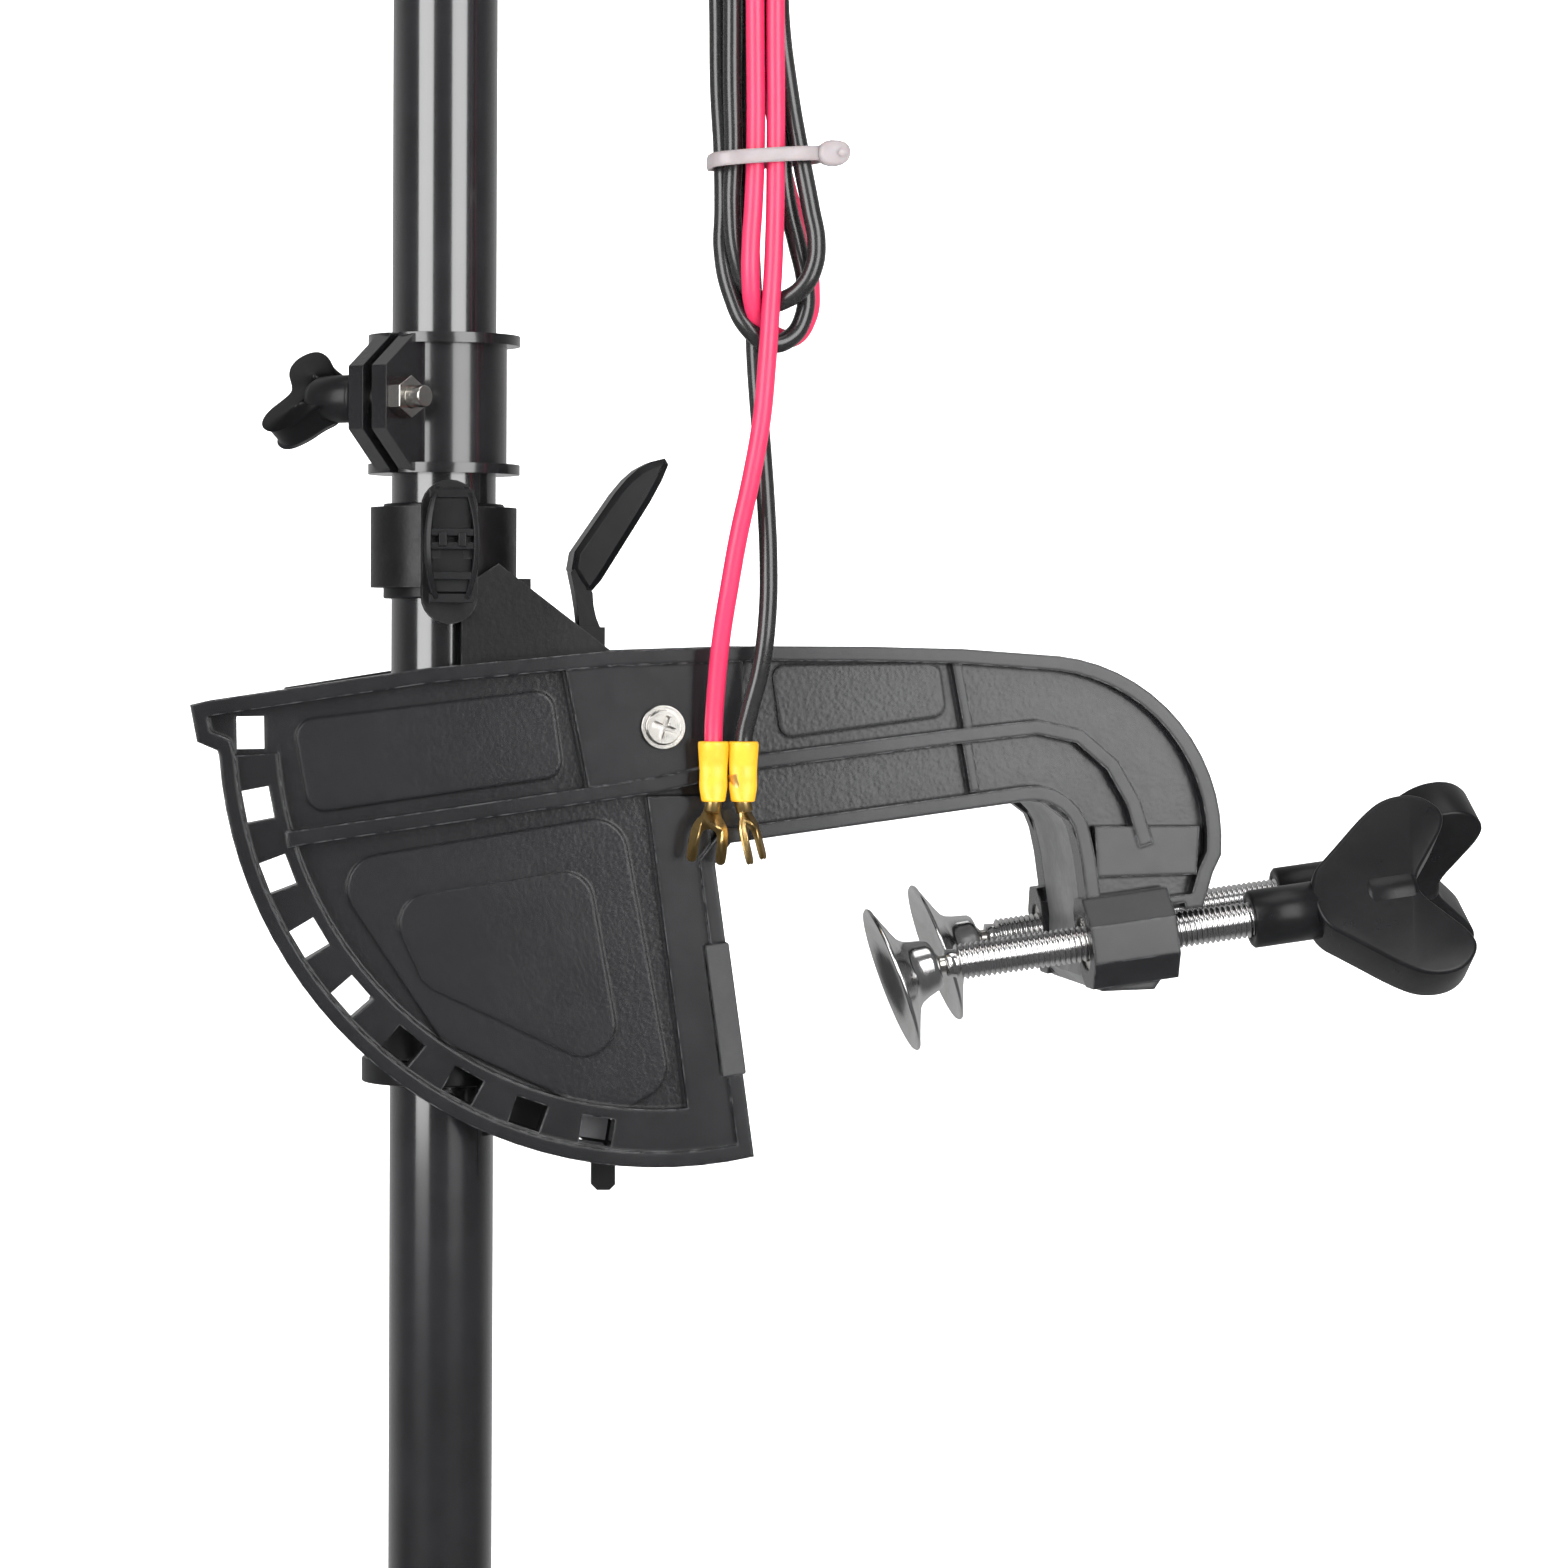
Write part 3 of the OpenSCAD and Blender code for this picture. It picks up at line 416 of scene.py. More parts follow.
# The faint pink in this colour is painted light: the pink lead showing through the translucent band.
TIE_NYLON = finish(
    "tie_nylon", (0.2, 0.175, 0.18), (0.27, 0.245, 0.25), roughness=0.35, spread=0.06, bump=0.1,
    Subsurface_Weight=0.2, Subsurface_Scale=0.002)
COPPER = finish("copper", (0.6, 0.26, 0.12), (0.42, 0.17, 0.08), roughness=0.35, metal=1.0)
FERRITE = finish(
    "ferrite", (0.05, 0.05, 0.052), (0.08, 0.08, 0.08), roughness=0.6, speck=0.5, bump=0.3)
RUBBER = finish(
    "rubber_black", (0.014, 0.014, 0.014), (0.022, 0.022, 0.022), roughness=0.6, spread=0.1,
    grain=1500, bump=0.3)
PINK_LEAD = finish(
    "pink_lead", (0.47, 0.0155, 0.068), (0.42, 0.013, 0.058), roughness=0.36, spread=0.05,
    mottle=25, smears=120, speck=0.05, grain=900, bump=0.06,
    Subsurface_Weight=0.1, Subsurface_Scale=0.001)
BLACK_LEAD = finish(
    "black_lead", (0.01, 0.01, 0.01), (0.017, 0.017, 0.018), roughness=0.27, spread=0.06,
    smears=120, grain=900, bump=0.06, Coat_Weight=0.4, Coat_Roughness=0.15)
YELLOW_SLEEVE = finish(
    "yellow_sleeve", (0.62, 0.32, 0.011), (0.56, 0.265, 0.008), roughness=0.38, spread=0.06,
    mottle=160, grain=1400, bump=0.12, Subsurface_Weight=0.12, Subsurface_Scale=0.001)
# The pale brass at the corners is a painted edge highlight.
BRASS = finish(
    "brass", (0.74, 0.52, 0.22), (0.52, 0.33, 0.11), roughness=0.33, spread=0.12, metal=1.0,
    mottle=260, smears=260, speck=0.3, grain=2500, bump=0.15, edge_highlight=(0.85, 0.68, 0.35), highlight_amount=0.8)

SLOT_FINISH = {
    "bracket_black": CAST_BLACK, "pad_grey": PAD_GREY, "zinc_steel": ZINC, "chrome": CHROME,
    "nylon_black": NYLON_BLACK, "tube_gloss": TUBE_BLACK, "unit_black": UNIT_BLACK,
    "nylon_white": TIE_NYLON, "copper": COPPER, "magnet_grey": FERRITE, "rubber_black": RUBBER,
    "lead_pink": PINK_LEAD, "lead_black": BLACK_LEAD, "sleeve_yellow": YELLOW_SLEEVE, "brass": BRASS}
NODE_FINISH = {
    "hinge_arm": ARM_BLACK, "lock_block": LOCK_GREY, "hook_bridge": HOOK_PAINTED_SHEEN,
    "depth_collar": COLLAR_GLOSS}

# ---- Carried-over nodes: a finish each, and rounded edges where they show ----

EDGE_MM = {
    "bracket_near_side": 0.8, "bracket_far_side": 0.8, "hook_bridge": 1.0, "transom_plate": 0.8,
    "transom_pad": 0.6, "hinge_arm": 1.0, "lock_block": 0.6, "depth_collar": 0.7,
    "hub_bushes": 0.5, "collar_nut": 0.35, "pivot_bolt": 0.25, "pivot_nut": 0.4, "head_shell": 3.0,
    "head_lid": 3.0, "lead_glands": 0.3, "motor_can": 1.0, "nose_bell": 1.0, "tail_bell": 1.0, "skeg": 1.4,
    "tiller_arm": 1.5, "tiller_tube": 0.4, "twist_grip": 0.6, "prop_nut": 0.5, "bracket_screws": 0.4,
    "collar_bolt": 0.4, "through_bolts": 0.4}


def merge_triangles(piece):
    """Clean a node's triangles into whole faces."""
    piece.modifiers.new("weld", "WELD").merge_threshold = 0.00001
    flats = piece.modifiers.new("flats", "DECIMATE")
    flats.decimate_type, flats.angle_limit = "DISSOLVE", math.radians(0.5)


def round_edges(piece, width):
    """Round the sharp edges to a width in millimetres, and smooth the rest."""
    edges = piece.modifiers.new("edges", "BEVEL")
    edges.width, edges.segments = width * MM, 3
    edges.limit_method, edges.angle_limit = "ANGLE", math.radians(28)
    even = piece.modifiers.new("even_shading", "WEIGHTED_NORMAL")
    even.mode, even.weight = "FACE_AREA", 100
    smooth_faces(piece)


def smooth_faces(piece):
    """Shade every face smoothly."""
    for face in piece.data.polygons:
        face.use_smooth = True


def dress_nodes():
    """Give each node its own finish, or else that of its material slot."""
    slots = {part["node"]: part["material_slot"] for part in record["subparts"]}
    for name, node in nodes.items():
        node.data.materials.clear()
        node.data.materials.append(NODE_FINISH.get(name, SLOT_FINISH[slots[name]]))
        if name in EDGE_MM:
            merge_triangles(node)
            round_edges(node, EDGE_MM[name])


dress_nodes()


# ---- Making pieces ----

def new_piece(name, shape, place, finish_for, body, stands_for=(), rounding=0, subdivide=0):
    """A piece from a bmesh in millimetres, put in its place, ridden on its body."""
    bmesh.ops.recalc_face_normals(shape, faces=shape.faces)
    shape.transform(place)
    mesh = bpy.data.meshes.new(name)
    shape.to_mesh(mesh)
    shape.free()
    piece = bpy.data.objects.new(name, mesh)
    scene.collection.objects.link(piece)
    mesh.materials.append(finish_for)
    smooth_faces(piece)
    if rounding:
        round_edges(piece, rounding)
    if subdivide:
        smooth = piece.modifiers.new("smooth", "SUBSURF")
        smooth.levels = smooth.render_levels = subdivide
    settle(piece, body, stands_for)
    return piece


def settle(piece, body, stands_for=()):
    """Say which body a piece rides on, and the nodes it stands for."""
    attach(piece, body)
    if stands_for:
        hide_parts(*stands_for)


def add_ring_faces(shape, rings, closed_ends=True):
    """Join equal rings of vertices with quads, and cap the two ends."""
    for first, second in zip(rings, rings[1:]):
        count = len(first)
        for i in range(count):
            shape.faces.new((first[i], first[(i + 1) % count], second[(i + 1) % count], second[i]))
    if closed_ends:
        shape.faces.new(rings[0][::-1])
        shape.faces.new(rings[-1])


def angles(steps):
    """Angles evenly round a circle."""
    return [2 * math.pi * i / steps for i in range(steps)]


def turn_profile(shape, profile, steps=64, along="X"):
    """A turned solid: the profile gives (radius, distance along the axis)."""
    rings = []
    for radius, distance in profile:
        ring = []
        for angle in angles(steps):
            a = max(radius, AXIS_RADIUS) * math.cos(angle)
            b = max(radius, AXIS_RADIUS) * math.sin(angle)
            ring.append(shape.verts.new(
                {"X": (distance, a, b), "Y": (a, distance, b), "Z": (a, b, distance)}[along]))
        rings.append(ring)
    add_ring_faces(shape, rings)


def soften_line(points, rounds=3):
    """Cut the corners of a closed line, twice as many points each round."""
    for _ in range(rounds):
        points = [(a[0] * p + b[0] * (1 - p), a[1] * p + b[1] * (1 - p))
                  for a, b in zip(points, points[1:] + points[:1]) for p in (0.75, 0.25)]
    return points


def inset_line(points, distance):
    """Move a closed line inwards, to the left of its run."""
    moved = []
    for i, (x, y) in enumerate(points):
        before, after = points[i - 1], points[(i + 1) % len(points)]
        run = Vector((after[0] - before[0], after[1] - before[1])).normalized()
        moved.append((x - run.y * distance, y + run.x * distance))
    return moved


def stack_outlines(shape, layers):
    """A solid from outlines of equal count, one per depth: layers are (outline, depth)."""
    add_ring_faces(shape, [[shape.verts.new((x, depth, z)) for x, z in outline]
                           for outline, depth in layers])


def block(shape, low, high):
    """A box between two corners."""
    rings = [[shape.verts.new((x, y, z))
              for x, y in ((low[0], low[1]), (high[0], low[1]), (high[0], high[1]), (low[0], high[1]))]
             for z in (low[2], high[2])]
    add_ring_faces(shape, rings)


def join_shapes(shape, extra):
    """Add one bmesh's geometry to another."""
    held = bpy.data.meshes.new("held")
    extra.to_mesh(held)
    extra.free()
    shape.from_mesh(held)
    bpy.data.meshes.remove(held)


# ---- Battery leads ----

# Each lead's middle line, in millimetres from the hinge: the runs hang folded in the hank, the
# tail goes down to the fork.
RED_RUNS = [
    (20, -38, 388), (20, -38, 378), (21, -39.5, 366), (23, -42, 350), (26, -45, 330), (28.3, -46, 300),
    (28.3, -46, 255), (28.3, -46, 220), (28.3, -46, 185), (29, -46, 153), (30.4, -46, 147),
    (33, -45.8, 138), (36, -45.8, 129), (37.7, -45.8, 118), (36.8, -46, 109.6), (32.6, -46, 104.4),
    (27.6, -46.8, 105.2), (23.6, -50.6, 108), (21, -54.6, 112.5), (20, -56.6, 119.5), (20, -57, 128),
    (20.6, -57, 138), (21.1, -57, 153), (20.8, -57, 190), (20.4, -57.2, 230), (17.5, -57.6, 280),
    (14.6, -57.8, 320), (14.6, -57.8, 345), (17.3, -57.8, 355.5), (23.5, -57.8, 360),
    (29.7, -57.8, 355.5), (32.4, -57.8, 345), (32.4, -57.8, 320), (29.8, -57.5, 280),
    (26.8, -57.2, 230), (26.2, -57, 205), (26.2, -57, 190), (26.5, -57, 153), (26.2, -57, 128),
    (25.3, -57, 110)]
RED_TAIL = [
    (24.4, -57, 96), (23.2, -56.4, 82), (20.6, -55, 66), (17.8, -53, 52), (15.6, -51, 38),
    (13.8, -48, 24), (12.8, -45.4, 10), (12.4, -44, 0), (12.4, -44, -9)]
BLACK_RUNS = [
    (34, -38, 388), (34, -38, 378), (34.4, -40, 366), (35, -44, 352), (34.5, -49, 335),
    (32, -51.8, 312), (29.5, -52, 285), (28.2, -52, 250), (28.2, -52, 215), (28.2, -52, 190),
    (30.8, -53, 168), (33.4, -54, 153), (36.2, -55.4, 138), (37.7, -56, 129), (36.9, -56, 122.4),
    (34.2, -55.5, 117.3), (30, -54, 114.2), (25.5, -51.8, 113.2), (20.3, -50.9, 116.8),
    (17, -51.6, 125.5), (15.6, -52, 138), (15.9, -52.2, 153), (15.3, -53, 172), (15.2, -53, 192),
    (14.6, -53, 230), (11, -52.6, 270), (7.2, -52.4, 300), (7.1, -52.4, 311), (9.6, -52.3, 317),
    (15.5, -52.2, 319.4), (21.4, -52, 317), (23.9, -51.8, 311), (23.8, -51.7, 298), (23, -51.6, 260),
    (22.8, -51.6, 220), (22.8, -51.6, 195), (24, -51.2, 180), (26.6, -51.5, 165), (28.8, -51.5, 153),
    (29.6, -50.7, 146), (31, -50.2, 138), (33.3, -50.2, 129), (35.5, -50.6, 118.6), (35, -50.8, 109.6),
    (31.3, -51.2, 104), (25.9, -51.6, 102.5), (20.4, -51.5, 106.2), (16, -50, 115), (13.7, -47.6, 127),
    (13.9, -47, 138), (13.6, -47, 153), (12.6, -47, 170), (12.2, -47, 192), (11, -46.9, 225),
    (7.4, -46.8, 255), (4.6, -46.8, 280), (4.5, -46.8, 290), (6.9, -46.7, 295.8), (12.7, -46.6, 298.2),
    (18.5, -46.5, 295.8), (20.9, -46.5, 290), (20.8, -46.5, 278), (20.2, -46.5, 240),
    (19.8, -46.5, 205), (19.8, -46.5, 190), (19.8, -46.5, 153), (21.4, -46.2, 128), (22.4, -45.8, 112)]
BLACK_TAIL = [
    (22.8, -46, 100), (23.6, -46.3, 88), (24.8, -46.6, 74), (25.8, -47, 60), (26.4, -48, 45),
    (26.2, -48, 30), (24.6, -47, 16), (21.8, -45, 4), (20.6, -44, -2), (20.4, -44, -9)]


def make_lead(name, points, finish_for):
    """A round lead along its middle line."""
    curve = bpy.data.curves.new(name, "CURVE")
    curve.dimensions = "3D"
    curve.bevel_depth, curve.bevel_resolution = LEAD_DIAMETER / 2, 5
    curve.resolution_u, curve.use_fill_caps = 7, True
    line = curve.splines.new("BEZIER")
    line.bezier_points.add(len(points) - 1)
    for knot, point in zip(line.bezier_points, points):
        knot.co = from_hinge(*point)
        knot.handle_left_type = knot.handle_right_type = "AUTO"
    lead = bpy.data.objects.new(name, curve)
    lead.data.materials.append(finish_for)
    scene.collection.objects.link(lead)
    return lead


def make_sleeve(name, x):
    """A crimped vinyl sleeve: flared where the lead goes in, pressed flat in two places."""
    shape = bmesh.new()
    spread_when_pressed = 0.35
    rings = []
    for z, radius, press in ((-3.6, 2.7, 0), (-3.4, 4.1, 0), (-4.2, 4.3, 0), (-7, 4.0, 0.05),
                             (-9, 3.6, 0.25), (-10.6, 3.45, 0.32), (-12.4, 3.5, 0.18), (-14.4, 3.5, 0.3),
                             (-16.4, 3.45, 0.3), (-18, 3.3, 0.12), (-19.4, 3.3, 0), (-19.8, 3.0, 0),
                             (-19.6, 1.8, 0)):
        rings.append([shape.verts.new((x + radius * math.cos(a) * (1 + press * spread_when_pressed),
                                       LEAD_END_Y + radius * math.sin(a) * (1 - press), z))
                      for a in angles(28)])
    add_ring_faces(shape, rings)
    return new_piece(name, shape, AT_HINGE, YELLOW_SLEEVE, "tube", subdivide=1)


def make_fork(name, x, turn, splay):
    """A brass fork: rolled barrel, neck and two flat tines, turned and splayed by degrees."""
    neck_z = -20
    shape = bmesh.new()
    turn_profile(shape, [(0, -22.6), (2.0, -22.6), (2.3, -22.2), (2.3, -12), (0, -12)], 24, along="Z")
    outline = soften_line([
        (-1.9, neck_z), (1.9, neck_z), (2.3, -23.4), (4.2, -25.6), (5.0, -28.6), (5.2, -35.2), (4.6, -36.2),
        (3.2, -36.2), (2.7, -35.2), (2.5, -29), (1.6, -27.4), (0, -26.9), (-1.6, -27.4), (-2.5, -29),
        (-2.7, -35.2), (-3.2, -36.2), (-4.6, -36.2), (-5.2, -35.2), (-5.0, -28.6), (-4.2, -25.6),
        (-2.3, -23.4)], 1)
    stack_outlines(shape, [(inset_line(outline, 0.15), -0.5), (outline, -0.35), (outline, 0.35),
                           (inset_line(outline, 0.15), 0.5)])
    lean = Matrix.Translation((x, LEAD_END_Y, neck_z)) @ turned(splay, "Y") \
        @ Matrix.Translation((0, 0, -neck_z)) @ turned(turn, "Z")
    return new_piece(name, shape, AT_HINGE @ lean, BRASS, "tube")


def make_tie():
    """A thin nylon band round the hank, with its ratchet head and cut tail."""
    shape = bmesh.new()
    middle_x, middle_z, slope = 25, 151.6, 0.085
    head_x, head_z = 42, 152.9
    tail_x, tail_z = 44.2, 152.8
    band = soften_line([(10.9, -60.6), (25, -61), (38.4, -57.6), (39.6, -52), (38.6, -44.6), (27, -42.9),
                        (11.2, -43.4), (9.8, -51)])
    rings = []
    for outwards, z in ((0, -1.9), (0.9, -1.9), (1.15, -1.2), (1.15, 1.2), (0.9, 1.9), (0, 1.9)):
        rings.append([shape.verts.new((x, y, middle_z + z + (x - middle_x) * slope))
                      for x, y in inset_line(band, -outwards)])
    rings.append(rings[0])
    add_ring_faces(shape, rings, closed_ends=False)
    head = soften_line([(-4.2, -3.4), (4, -3.4), (4.4, 3), (-4.2, 3.2)], 2)
    stack_outlines(shape, [([(head_x + x * share, head_z + z * share) for x, z in head], y)
                           for share, y in ((0.75, -59.4), (1, -58.6), (1, -54.8), (0.75, -54))])
    tail = soften_line([(-1.4, -1.2), (1.4, -1.2), (1.4, 1.2), (-1.4, 1.2)], 1)
    stack_outlines(shape, [([(tail_x + x, tail_z + z) for x, z in tail], y) for y in (-60.8, -56.5)])
    return new_piece("cable_tie_band", shape, AT_HINGE, TIE_NYLON, "tube", ("cable_tie",))


def make_leads():
    """Both leads with their sleeves and forks, tied in one hank."""
    red_points, black_points = RED_RUNS + RED_TAIL, BLACK_RUNS + BLACK_TAIL
    red = make_lead("red_battery_lead", red_points, PINK_LEAD)
    black = make_lead("black_battery_lead", black_points, BLACK_LEAD)
    settle(red, "tube", ("red_feed", "red_tail", "lead_hank"))
    settle(black, "tube", ("black_feed", "black_tail"))
    red_x, black_x = red_points[-1][0], black_points[-1][0]
    red_sleeve = make_sleeve("red_lead_sleeve", red_x)
    black_sleeve = make_sleeve("black_lead_sleeve", black_x)
    red_fork = make_fork("red_lead_fork", red_x, turn=-12, splay=7)
    black_fork = make_fork("black_lead_fork", black_x, turn=55, splay=-14)
    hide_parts("crimp_sleeves")
    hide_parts("fork_terminals")
    tie = make_tie()


make_leads()


# ---- Clamp screws ----

def thread_radius(x, turn, first, last):
    """Radius of an M10 thread at one place: flat crests and roots, tapered run-outs."""
    crest, deepest, flank, flat = 4.98, 0.85, 2.6, 0.3
    run_out, end_drop = 1.2, 0.9
    phase = (x / THREAD_PITCH - turn) % 1
    depth = min(max(abs(phase - 0.5) * flank - flat, 0), 1) * deepest
    ends = min(1.0, max(0.0, (x - first) / run_out), max(0.0, (last - x) / run_out))
    return crest - depth - (1 - ends) * end_drop


def ring_about_x(shape, x, radii):
    """A ring of vertices about the x axis, with one radius for each step round it."""
    return [shape.verts.new((x, radius * math.cos(a), radius * math.sin(a)))
            for a, radius in zip(angles(len(radii)), radii)]


def make_clamp_screw(name, body, place, stands_for):
    """A screw threaded from just behind its ball up to the knob."""
    shape = bmesh.new()
    steps, first, last, slice_mm = 36, 7.5, 106.0, 0.25
    rings = [ring_about_x(shape, 5.0, [2.7] * steps), ring_about_x(shape, 5.2, [4.0] * steps)]
    for k in range(int((last - first) / slice_mm) + 1):
        x = first + k * slice_mm
        radii = [thread_radius(x, i / steps, first, last) for i in range(steps)]
        rings.append(ring_about_x(shape, x, radii))
    add_ring_faces(shape, rings)
    return new_piece(name, shape, place, CHROME, body, (stands_for,))


PAD_PROFILE = [(0, -6.2), (7.4, -6.2), (8.8, -6.35), (12, -7.5), (16, -9.1), (19.3, -10.6), (20.1, -10.75),
               (20.5, -10.3), (20.3, -9.8), (19.4, -9.5), (16, -8.1), (12.4, -6.6), (10, -5.4), (8.9, -4.2),
               (8.1, -2.2), (7.3, 0.8), (6.9, 2.0), (6.2, 2.6), (5.2, 2.6), (4.65, 2.2), (4.75, 0.6),
               (4.75, -4.6), (4.2, -4.8), (0, -4.8)]


def make_pad(name, body, place, stands_for):
    """A dished pad that droops a little on its ball."""
    shape = bmesh.new()
    turn_profile(shape, PAD_PROFILE, 96)
    return new_piece(name, shape, place @ turned(-12, "Y"), CHROME, body, (stands_for,))


# ---- Winged knobs ----

def winged_layers(outline, half, edge):
    """Layers of a flat wing: half is half its thickness, edge the radius of its rounded edges."""
    steps = 4
    profile = [(edge * (1 - math.sin(a)), half - edge * (1 - math.cos(a)))
               for a in (math.pi / 2 * i / steps for i in range(steps + 1))]
    layers = [(inset_line(outline, inset), -depth) for inset, depth in profile]
    return layers + [(inset_line(outline, inset), depth) for inset, depth in reversed(profile)]


BUTTERFLY = [(17, -7), (25, -13.5), (38, -24.5), (45, -27.5), (53, -27), (58.5, -22), (58.5, -17),
             (51.5, -8.5), (46.5, -2.5), (46.5, 2.5), (51.5, 8.5), (58.5, 17), (58.5, 22), (53, 27),
             (45, 27.5), (38, 24.5), (25, 13.5), (17, 7)]
KNOB_START = 91


def make_clamp_knob(name, body, place, turn, stands_for):
    """A butterfly knob: a socket on the screw, an end boss and two wings."""
    shape = bmesh.new()
    turn_profile(shape, [(5, KNOB_START + 3), (5, KNOB_START), (7.4, KNOB_START), (8, KNOB_START + 0.6),
                         (8, KNOB_START + 24), (0, KNOB_START + 24)], 48)
    turn_profile(shape, [(0, KNOB_START + 31), (7.6, KNOB_START + 31.6), (8.7, KNOB_START + 33.4),
                         (8.7, KNOB_START + 45), (8.2, KNOB_START + 46.4), (0, KNOB_START + 46.6)], 48)
    wings = bmesh.new()
    outline = soften_line([(x + KNOB_START, z) for x, z in BUTTERFLY])
    stack_outlines(wings, winged_layers(outline, half=8, edge=1.1))
    wings.transform(turned(turn, "X"))
    join_shapes(shape, wings)
    return new_piece(name, shape, place, NYLON_BLACK, body, (stands_for,))


for side, place, turn in (("near", ON_NEAR_SCREW, -28), ("far", ON_FAR_SCREW, 34)):
    make_clamp_screw(side + "_threaded_screw", side + "_screw", place, "clamp_screw_" + side)
    make_pad(side + "_dished_pad", side + "_pad", place, "swivel_pad_" + side)
    make_clamp_knob(side + "_butterfly_knob", side + "_screw", place, turn, "clamp_knob_" + side)


COLLAR_WING = [(-15, -5), (-19, -7), (-23.5, -11.5), (-29, -13.8), (-34, -11.5), (-34.5, -7.5),
               (-30, -2.4), (-29, 0), (-30, 2.4), (-34.5, 7.5), (-34, 11.5), (-29, 13.8), (-23.5, 11.5),
               (-19, 7), (-15, 5)]


def make_collar_knob():
    """The wing knob on the depth collar's bolt."""
    shape = bmesh.new()
    turn_profile(shape, [(3.1, -7.2), (5.9, -7.2), (6.5, -7.8), (6.5, -17), (6.2, -21), (5.2, -23.4),
                         (3.4, -24.6), (0, -25)], 40, along="Y")
    wings = bmesh.new()
    stack_outlines(wings, winged_layers(soften_line(COLLAR_WING), half=3.8, edge=0.9))
    wings.transform(turned(-37, "Y") @ turned(90, "Z"))
    join_shapes(shape, wings)
    return new_piece("collar_wing_knob", shape, ON_COLLAR_SCREW, NYLON_BLACK, "collar_screw",
                     ("collar_knob",))


# ---- Tension lever and release lever ----

def make_tension_lever():
    """A boat-shaped rocker: two bowed rails with ribs between them."""
    shape = bmesh.new()
    count, middle, half, rail = 14, 49, 15.5, 1.5

    def bow(share):
        return 1 - abs(2 * share - 1) ** 2.2

    for side in (-1, 1):
        rings = []
        for i in range(count + 1):
            share = i / count
            z = middle - half + 2 * half * share
            x = side * (4.5 + 2.7 * bow(share))
            outer = -31.0 - 4.0 * bow(share)
            inner = -25.2 - 4.2 * max(0.0, share - 0.42) / 0.58
            rings.append([shape.verts.new(point) for point in
                          ((x - side * rail, outer + 0.3, z), (x, outer, z), (x, inner, z),
                           (x - side * rail, inner, z))])
        add_ring_faces(shape, rings)
    for z, front, depth in ((-14.6, -31.2, 1.3), (-8.6, -33.4, 1.1), (-0.6, -34.2, 1.0),
                            (3.0, -34.2, 1.0), (13.4, -31.8, 1.2)):
        block(shape, (-6, front, middle + z - depth), (6, -29.4, middle + z + depth))
    block(shape, (-5.4, -31.2, middle - 13), (5.4, -29.8, middle + 13))
    for x in (-2.6, 2.6):
        block(shape, (x - 1.1, -34.9, middle - 0.8), (x + 1.1, -33, middle + 3.0))
    return new_piece("boat_shaped_lever", shape, AT_TUBE, NYLON_BLACK, "tension",
                     ("tension_lever",), rounding=0.3)


def make_release_lever():
    """A bar down to the lock, with a chamfered paddle on its bent neck."""
    shape = bmesh.new()
    paddle = soften_line([(-20, 37), (-17.3, 36.1), (-8.3, 50.5), (0.6, 64.9), (4.2, 73.7), (-3.5, 71.7),
                          (-9.6, 66.2), (-16.9, 55.5), (-24.2, 44.8)], 1)
    stack_outlines(shape, [(inset_line(paddle, 1.9), -16.6), (inset_line(paddle, 1.6), -16.5),
                           (paddle, -14.9), (paddle, 1.9), (inset_line(paddle, 0.7), 2.5)])
    neck = soften_line([(-24, 44.5), (-17.5, 38), (-17, 31), (-14.5, 25), (-20.8, 25), (-21.8, 34)], 1)
    stack_outlines(shape, [(neck, -15.6), (neck, -4.5)])
    bar = [(-21, 27), (-21, -112), (-17, -115), (-17, -125.5), (-15.5, -127), (-12, -127),
           (-10.5, -125.5), (-10.5, -112), (-14, -100), (-14, 27)]
    stack_outlines(shape, [(bar, -15.8), (bar, -12.7)])
    return new_piece("release_paddle", shape, AT_HINGE, NYLON_BLACK, "release",
                     ("release_lever",), rounding=0.4)


make_collar_knob()
make_tension_lever()
make_release_lever()


# ---- Propeller ----

def make_blade(hub_x):
    """One blade, standing up from the hub: it narrows, flattens and thins towards its tip."""
    blade = bmesh.new()
    sections, steps = 12, 20
    root, span, widest, camber = 14, 96.5, 54, 2.6
    rings = []
    for i in range(sections + 1):
        share = i / sections
        reach = root + span * share
        round_tip = math.sqrt(max(0.02, 1 - max(0, share - 0.55) ** 2 / 0.205))
        chord = widest * (1 - 0.25 * share) * round_tip
        pitch = math.radians(62 - 34 * share)
        thick = 4.2 - 2.8 * share
        ring = []
        for angle in angles(steps):
            along = chord / 2 * math.cos(angle)
            over = thick / 2 * math.sin(angle) + camber * (1 - math.cos(angle) ** 2)
            ring.append(blade.verts.new((hub_x + along * math.cos(pitch) - over * math.sin(pitch),
                                         along * math.sin(pitch) + over * math.cos(pitch), reach)))
        rings.append(ring)
    add_ring_faces(blade, rings)
    return blade


def make_propeller():
    """Three blades on a bored hub."""
    shape = bmesh.new()
    back, blades = -80, 3
    turn_profile(shape, [(5.1, back - 60), (5.1, back - 76), (12, back - 76), (14.5, back - 74.6),
                         (17, back - 70), (17.6, back - 62), (17.6, back - 46), (17, back - 44.6),
                         (5.1, back - 44.6)])
    for i in range(blades):
        blade = make_blade(back - 62)
        blade.transform(Matrix.Rotation(2 * math.pi * i / blades, 4, "X"))
        join_shapes(shape, blade)
    return new_piece("three_blade_propeller", shape, AT_MOTOR, NYLON_BLACK, "rotor",
                     ("propeller",), subdivide=1)


make_propeller()


# ---- Studio ----

OBJECT_MIDDLE = Vector((-0.03, 0, 0.1))


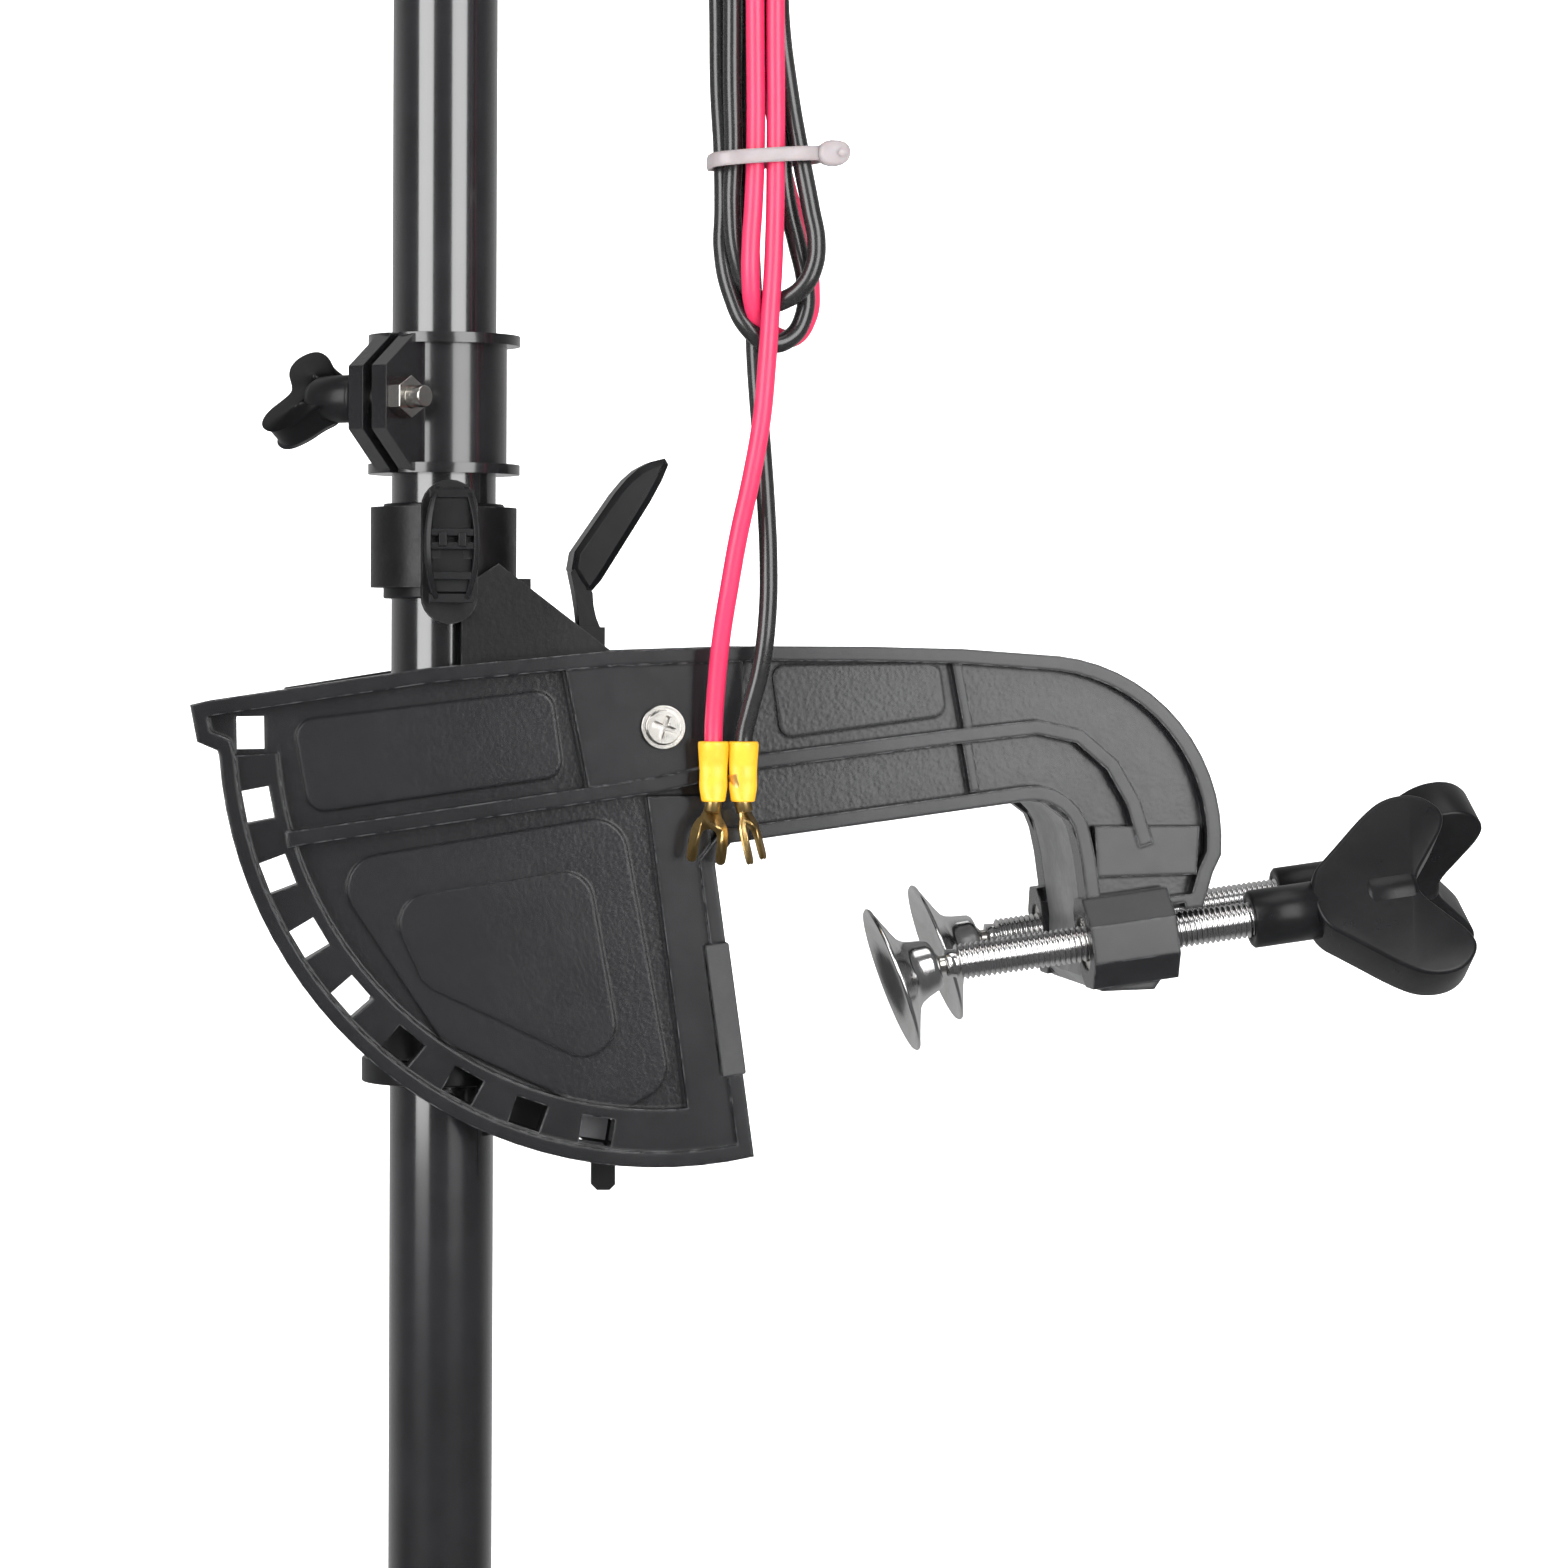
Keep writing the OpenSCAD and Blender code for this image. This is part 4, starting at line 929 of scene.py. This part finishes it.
def make_floor(floor_z):
    """A pale floor that curves up into a wall all round, too far off to hide the object."""
    shape = bmesh.new()
    floor_reach, corner, wall_top, corner_steps = 8.0, 3.0, 9.0, 12
    profile = [(0.01, 0)] + [(floor_reach * i / 6, 0) for i in range(1, 7)]
    profile += [(floor_reach + corner * math.sin(a), corner * (1 - math.cos(a)))
                for a in (math.pi / 2 * i / corner_steps for i in range(1, corner_steps + 1))]
    profile += [(floor_reach + corner, wall_top)]
    rings = [[shape.verts.new((radius * math.cos(a), radius * math.sin(a), floor_z + z))
              for a in angles(72)] for radius, z in profile]
    add_ring_faces(shape, rings, closed_ends=False)
    shape.faces.new(rings[0])
    bmesh.ops.recalc_face_normals(shape, faces=shape.faces)
    mesh = bpy.data.meshes.new("pale_floor")
    shape.to_mesh(mesh)
    shape.free()
    floor = bpy.data.objects.new("pale_floor", mesh)
    smooth_faces(floor)
    material = finish("pale_paper", (0.9, 0.9, 0.9), (0.88, 0.88, 0.88), roughness=0.8, spread=0.02,
                      bump=0.02)
    principled = material.node_tree.nodes["Principled BSDF"]
    principled.inputs["Emission Color"].default_value = (1, 1, 1, 1)
    principled.inputs["Emission Strength"].default_value = 0.9
    mesh.materials.append(material)
    floor.visible_glossy = False
    scene.collection.objects.link(floor)


def make_softbox(name, offset, size, watts, in_reflections=True):
    """A rectangular soft light that faces the object."""
    lamp = bpy.data.lights.new(name, "AREA")
    lamp.shape, lamp.energy = "RECTANGLE", watts
    lamp.size, lamp.size_y = size
    light = bpy.data.objects.new(name, lamp)
    light.location = OBJECT_MIDDLE + Vector(offset)
    light.rotation_euler = (OBJECT_MIDDLE - light.location).to_track_quat("-Z", "Y").to_euler()
    light.visible_glossy = in_reflections
    scene.collection.objects.link(light)


def make_lights():
    """Two tall soft lights in front, two behind that keep out of reflections, and one above."""
    for name, degrees, distance, height, size, watts in (
            ("right_softbox", 26, 1.35, 0.33, (0.82, 1.15), 17),
            ("left_softbox", -48, 1.35, 0.3, (0.8, 1.2), 18),
            ("back_softbox", 160, 1.9, 0.9, (1.4, 1.2), 12),
            ("far_softbox", 95, 1.9, 0.7, (1.2, 1.2), 3)):
        a = math.radians(degrees)
        make_softbox(name, (math.sin(a) * distance, -math.cos(a) * distance, height), size, watts,
                     in_reflections=abs(degrees) < 90)
    make_softbox("top_softbox", (0.15, -0.3, 1.7), (1.6, 1.2), 12)


def make_air():
    """A grey surround: dim behind the camera, lighter beyond the object."""
    world = bpy.data.worlds.new("studio_air")
    world.use_nodes = True
    tree = world.node_tree
    way = tree.nodes.new("ShaderNodeSeparateXYZ")
    tree.links.new(tree.nodes.new("ShaderNodeTexCoord").outputs["Generated"], way.inputs[0])
    air = mix_colour(tree, ramp(tree, way.outputs["Y"], -0.1, 0.7), (0.12, 0.12, 0.124),
                     (0.42, 0.42, 0.42))
    tree.links.new(air, tree.nodes["Background"].inputs["Color"])
    scene.world = world
    scene.view_settings.view_transform = "Standard"


make_floor(cad_lowest.z - 0.002)
make_lights()
make_air()
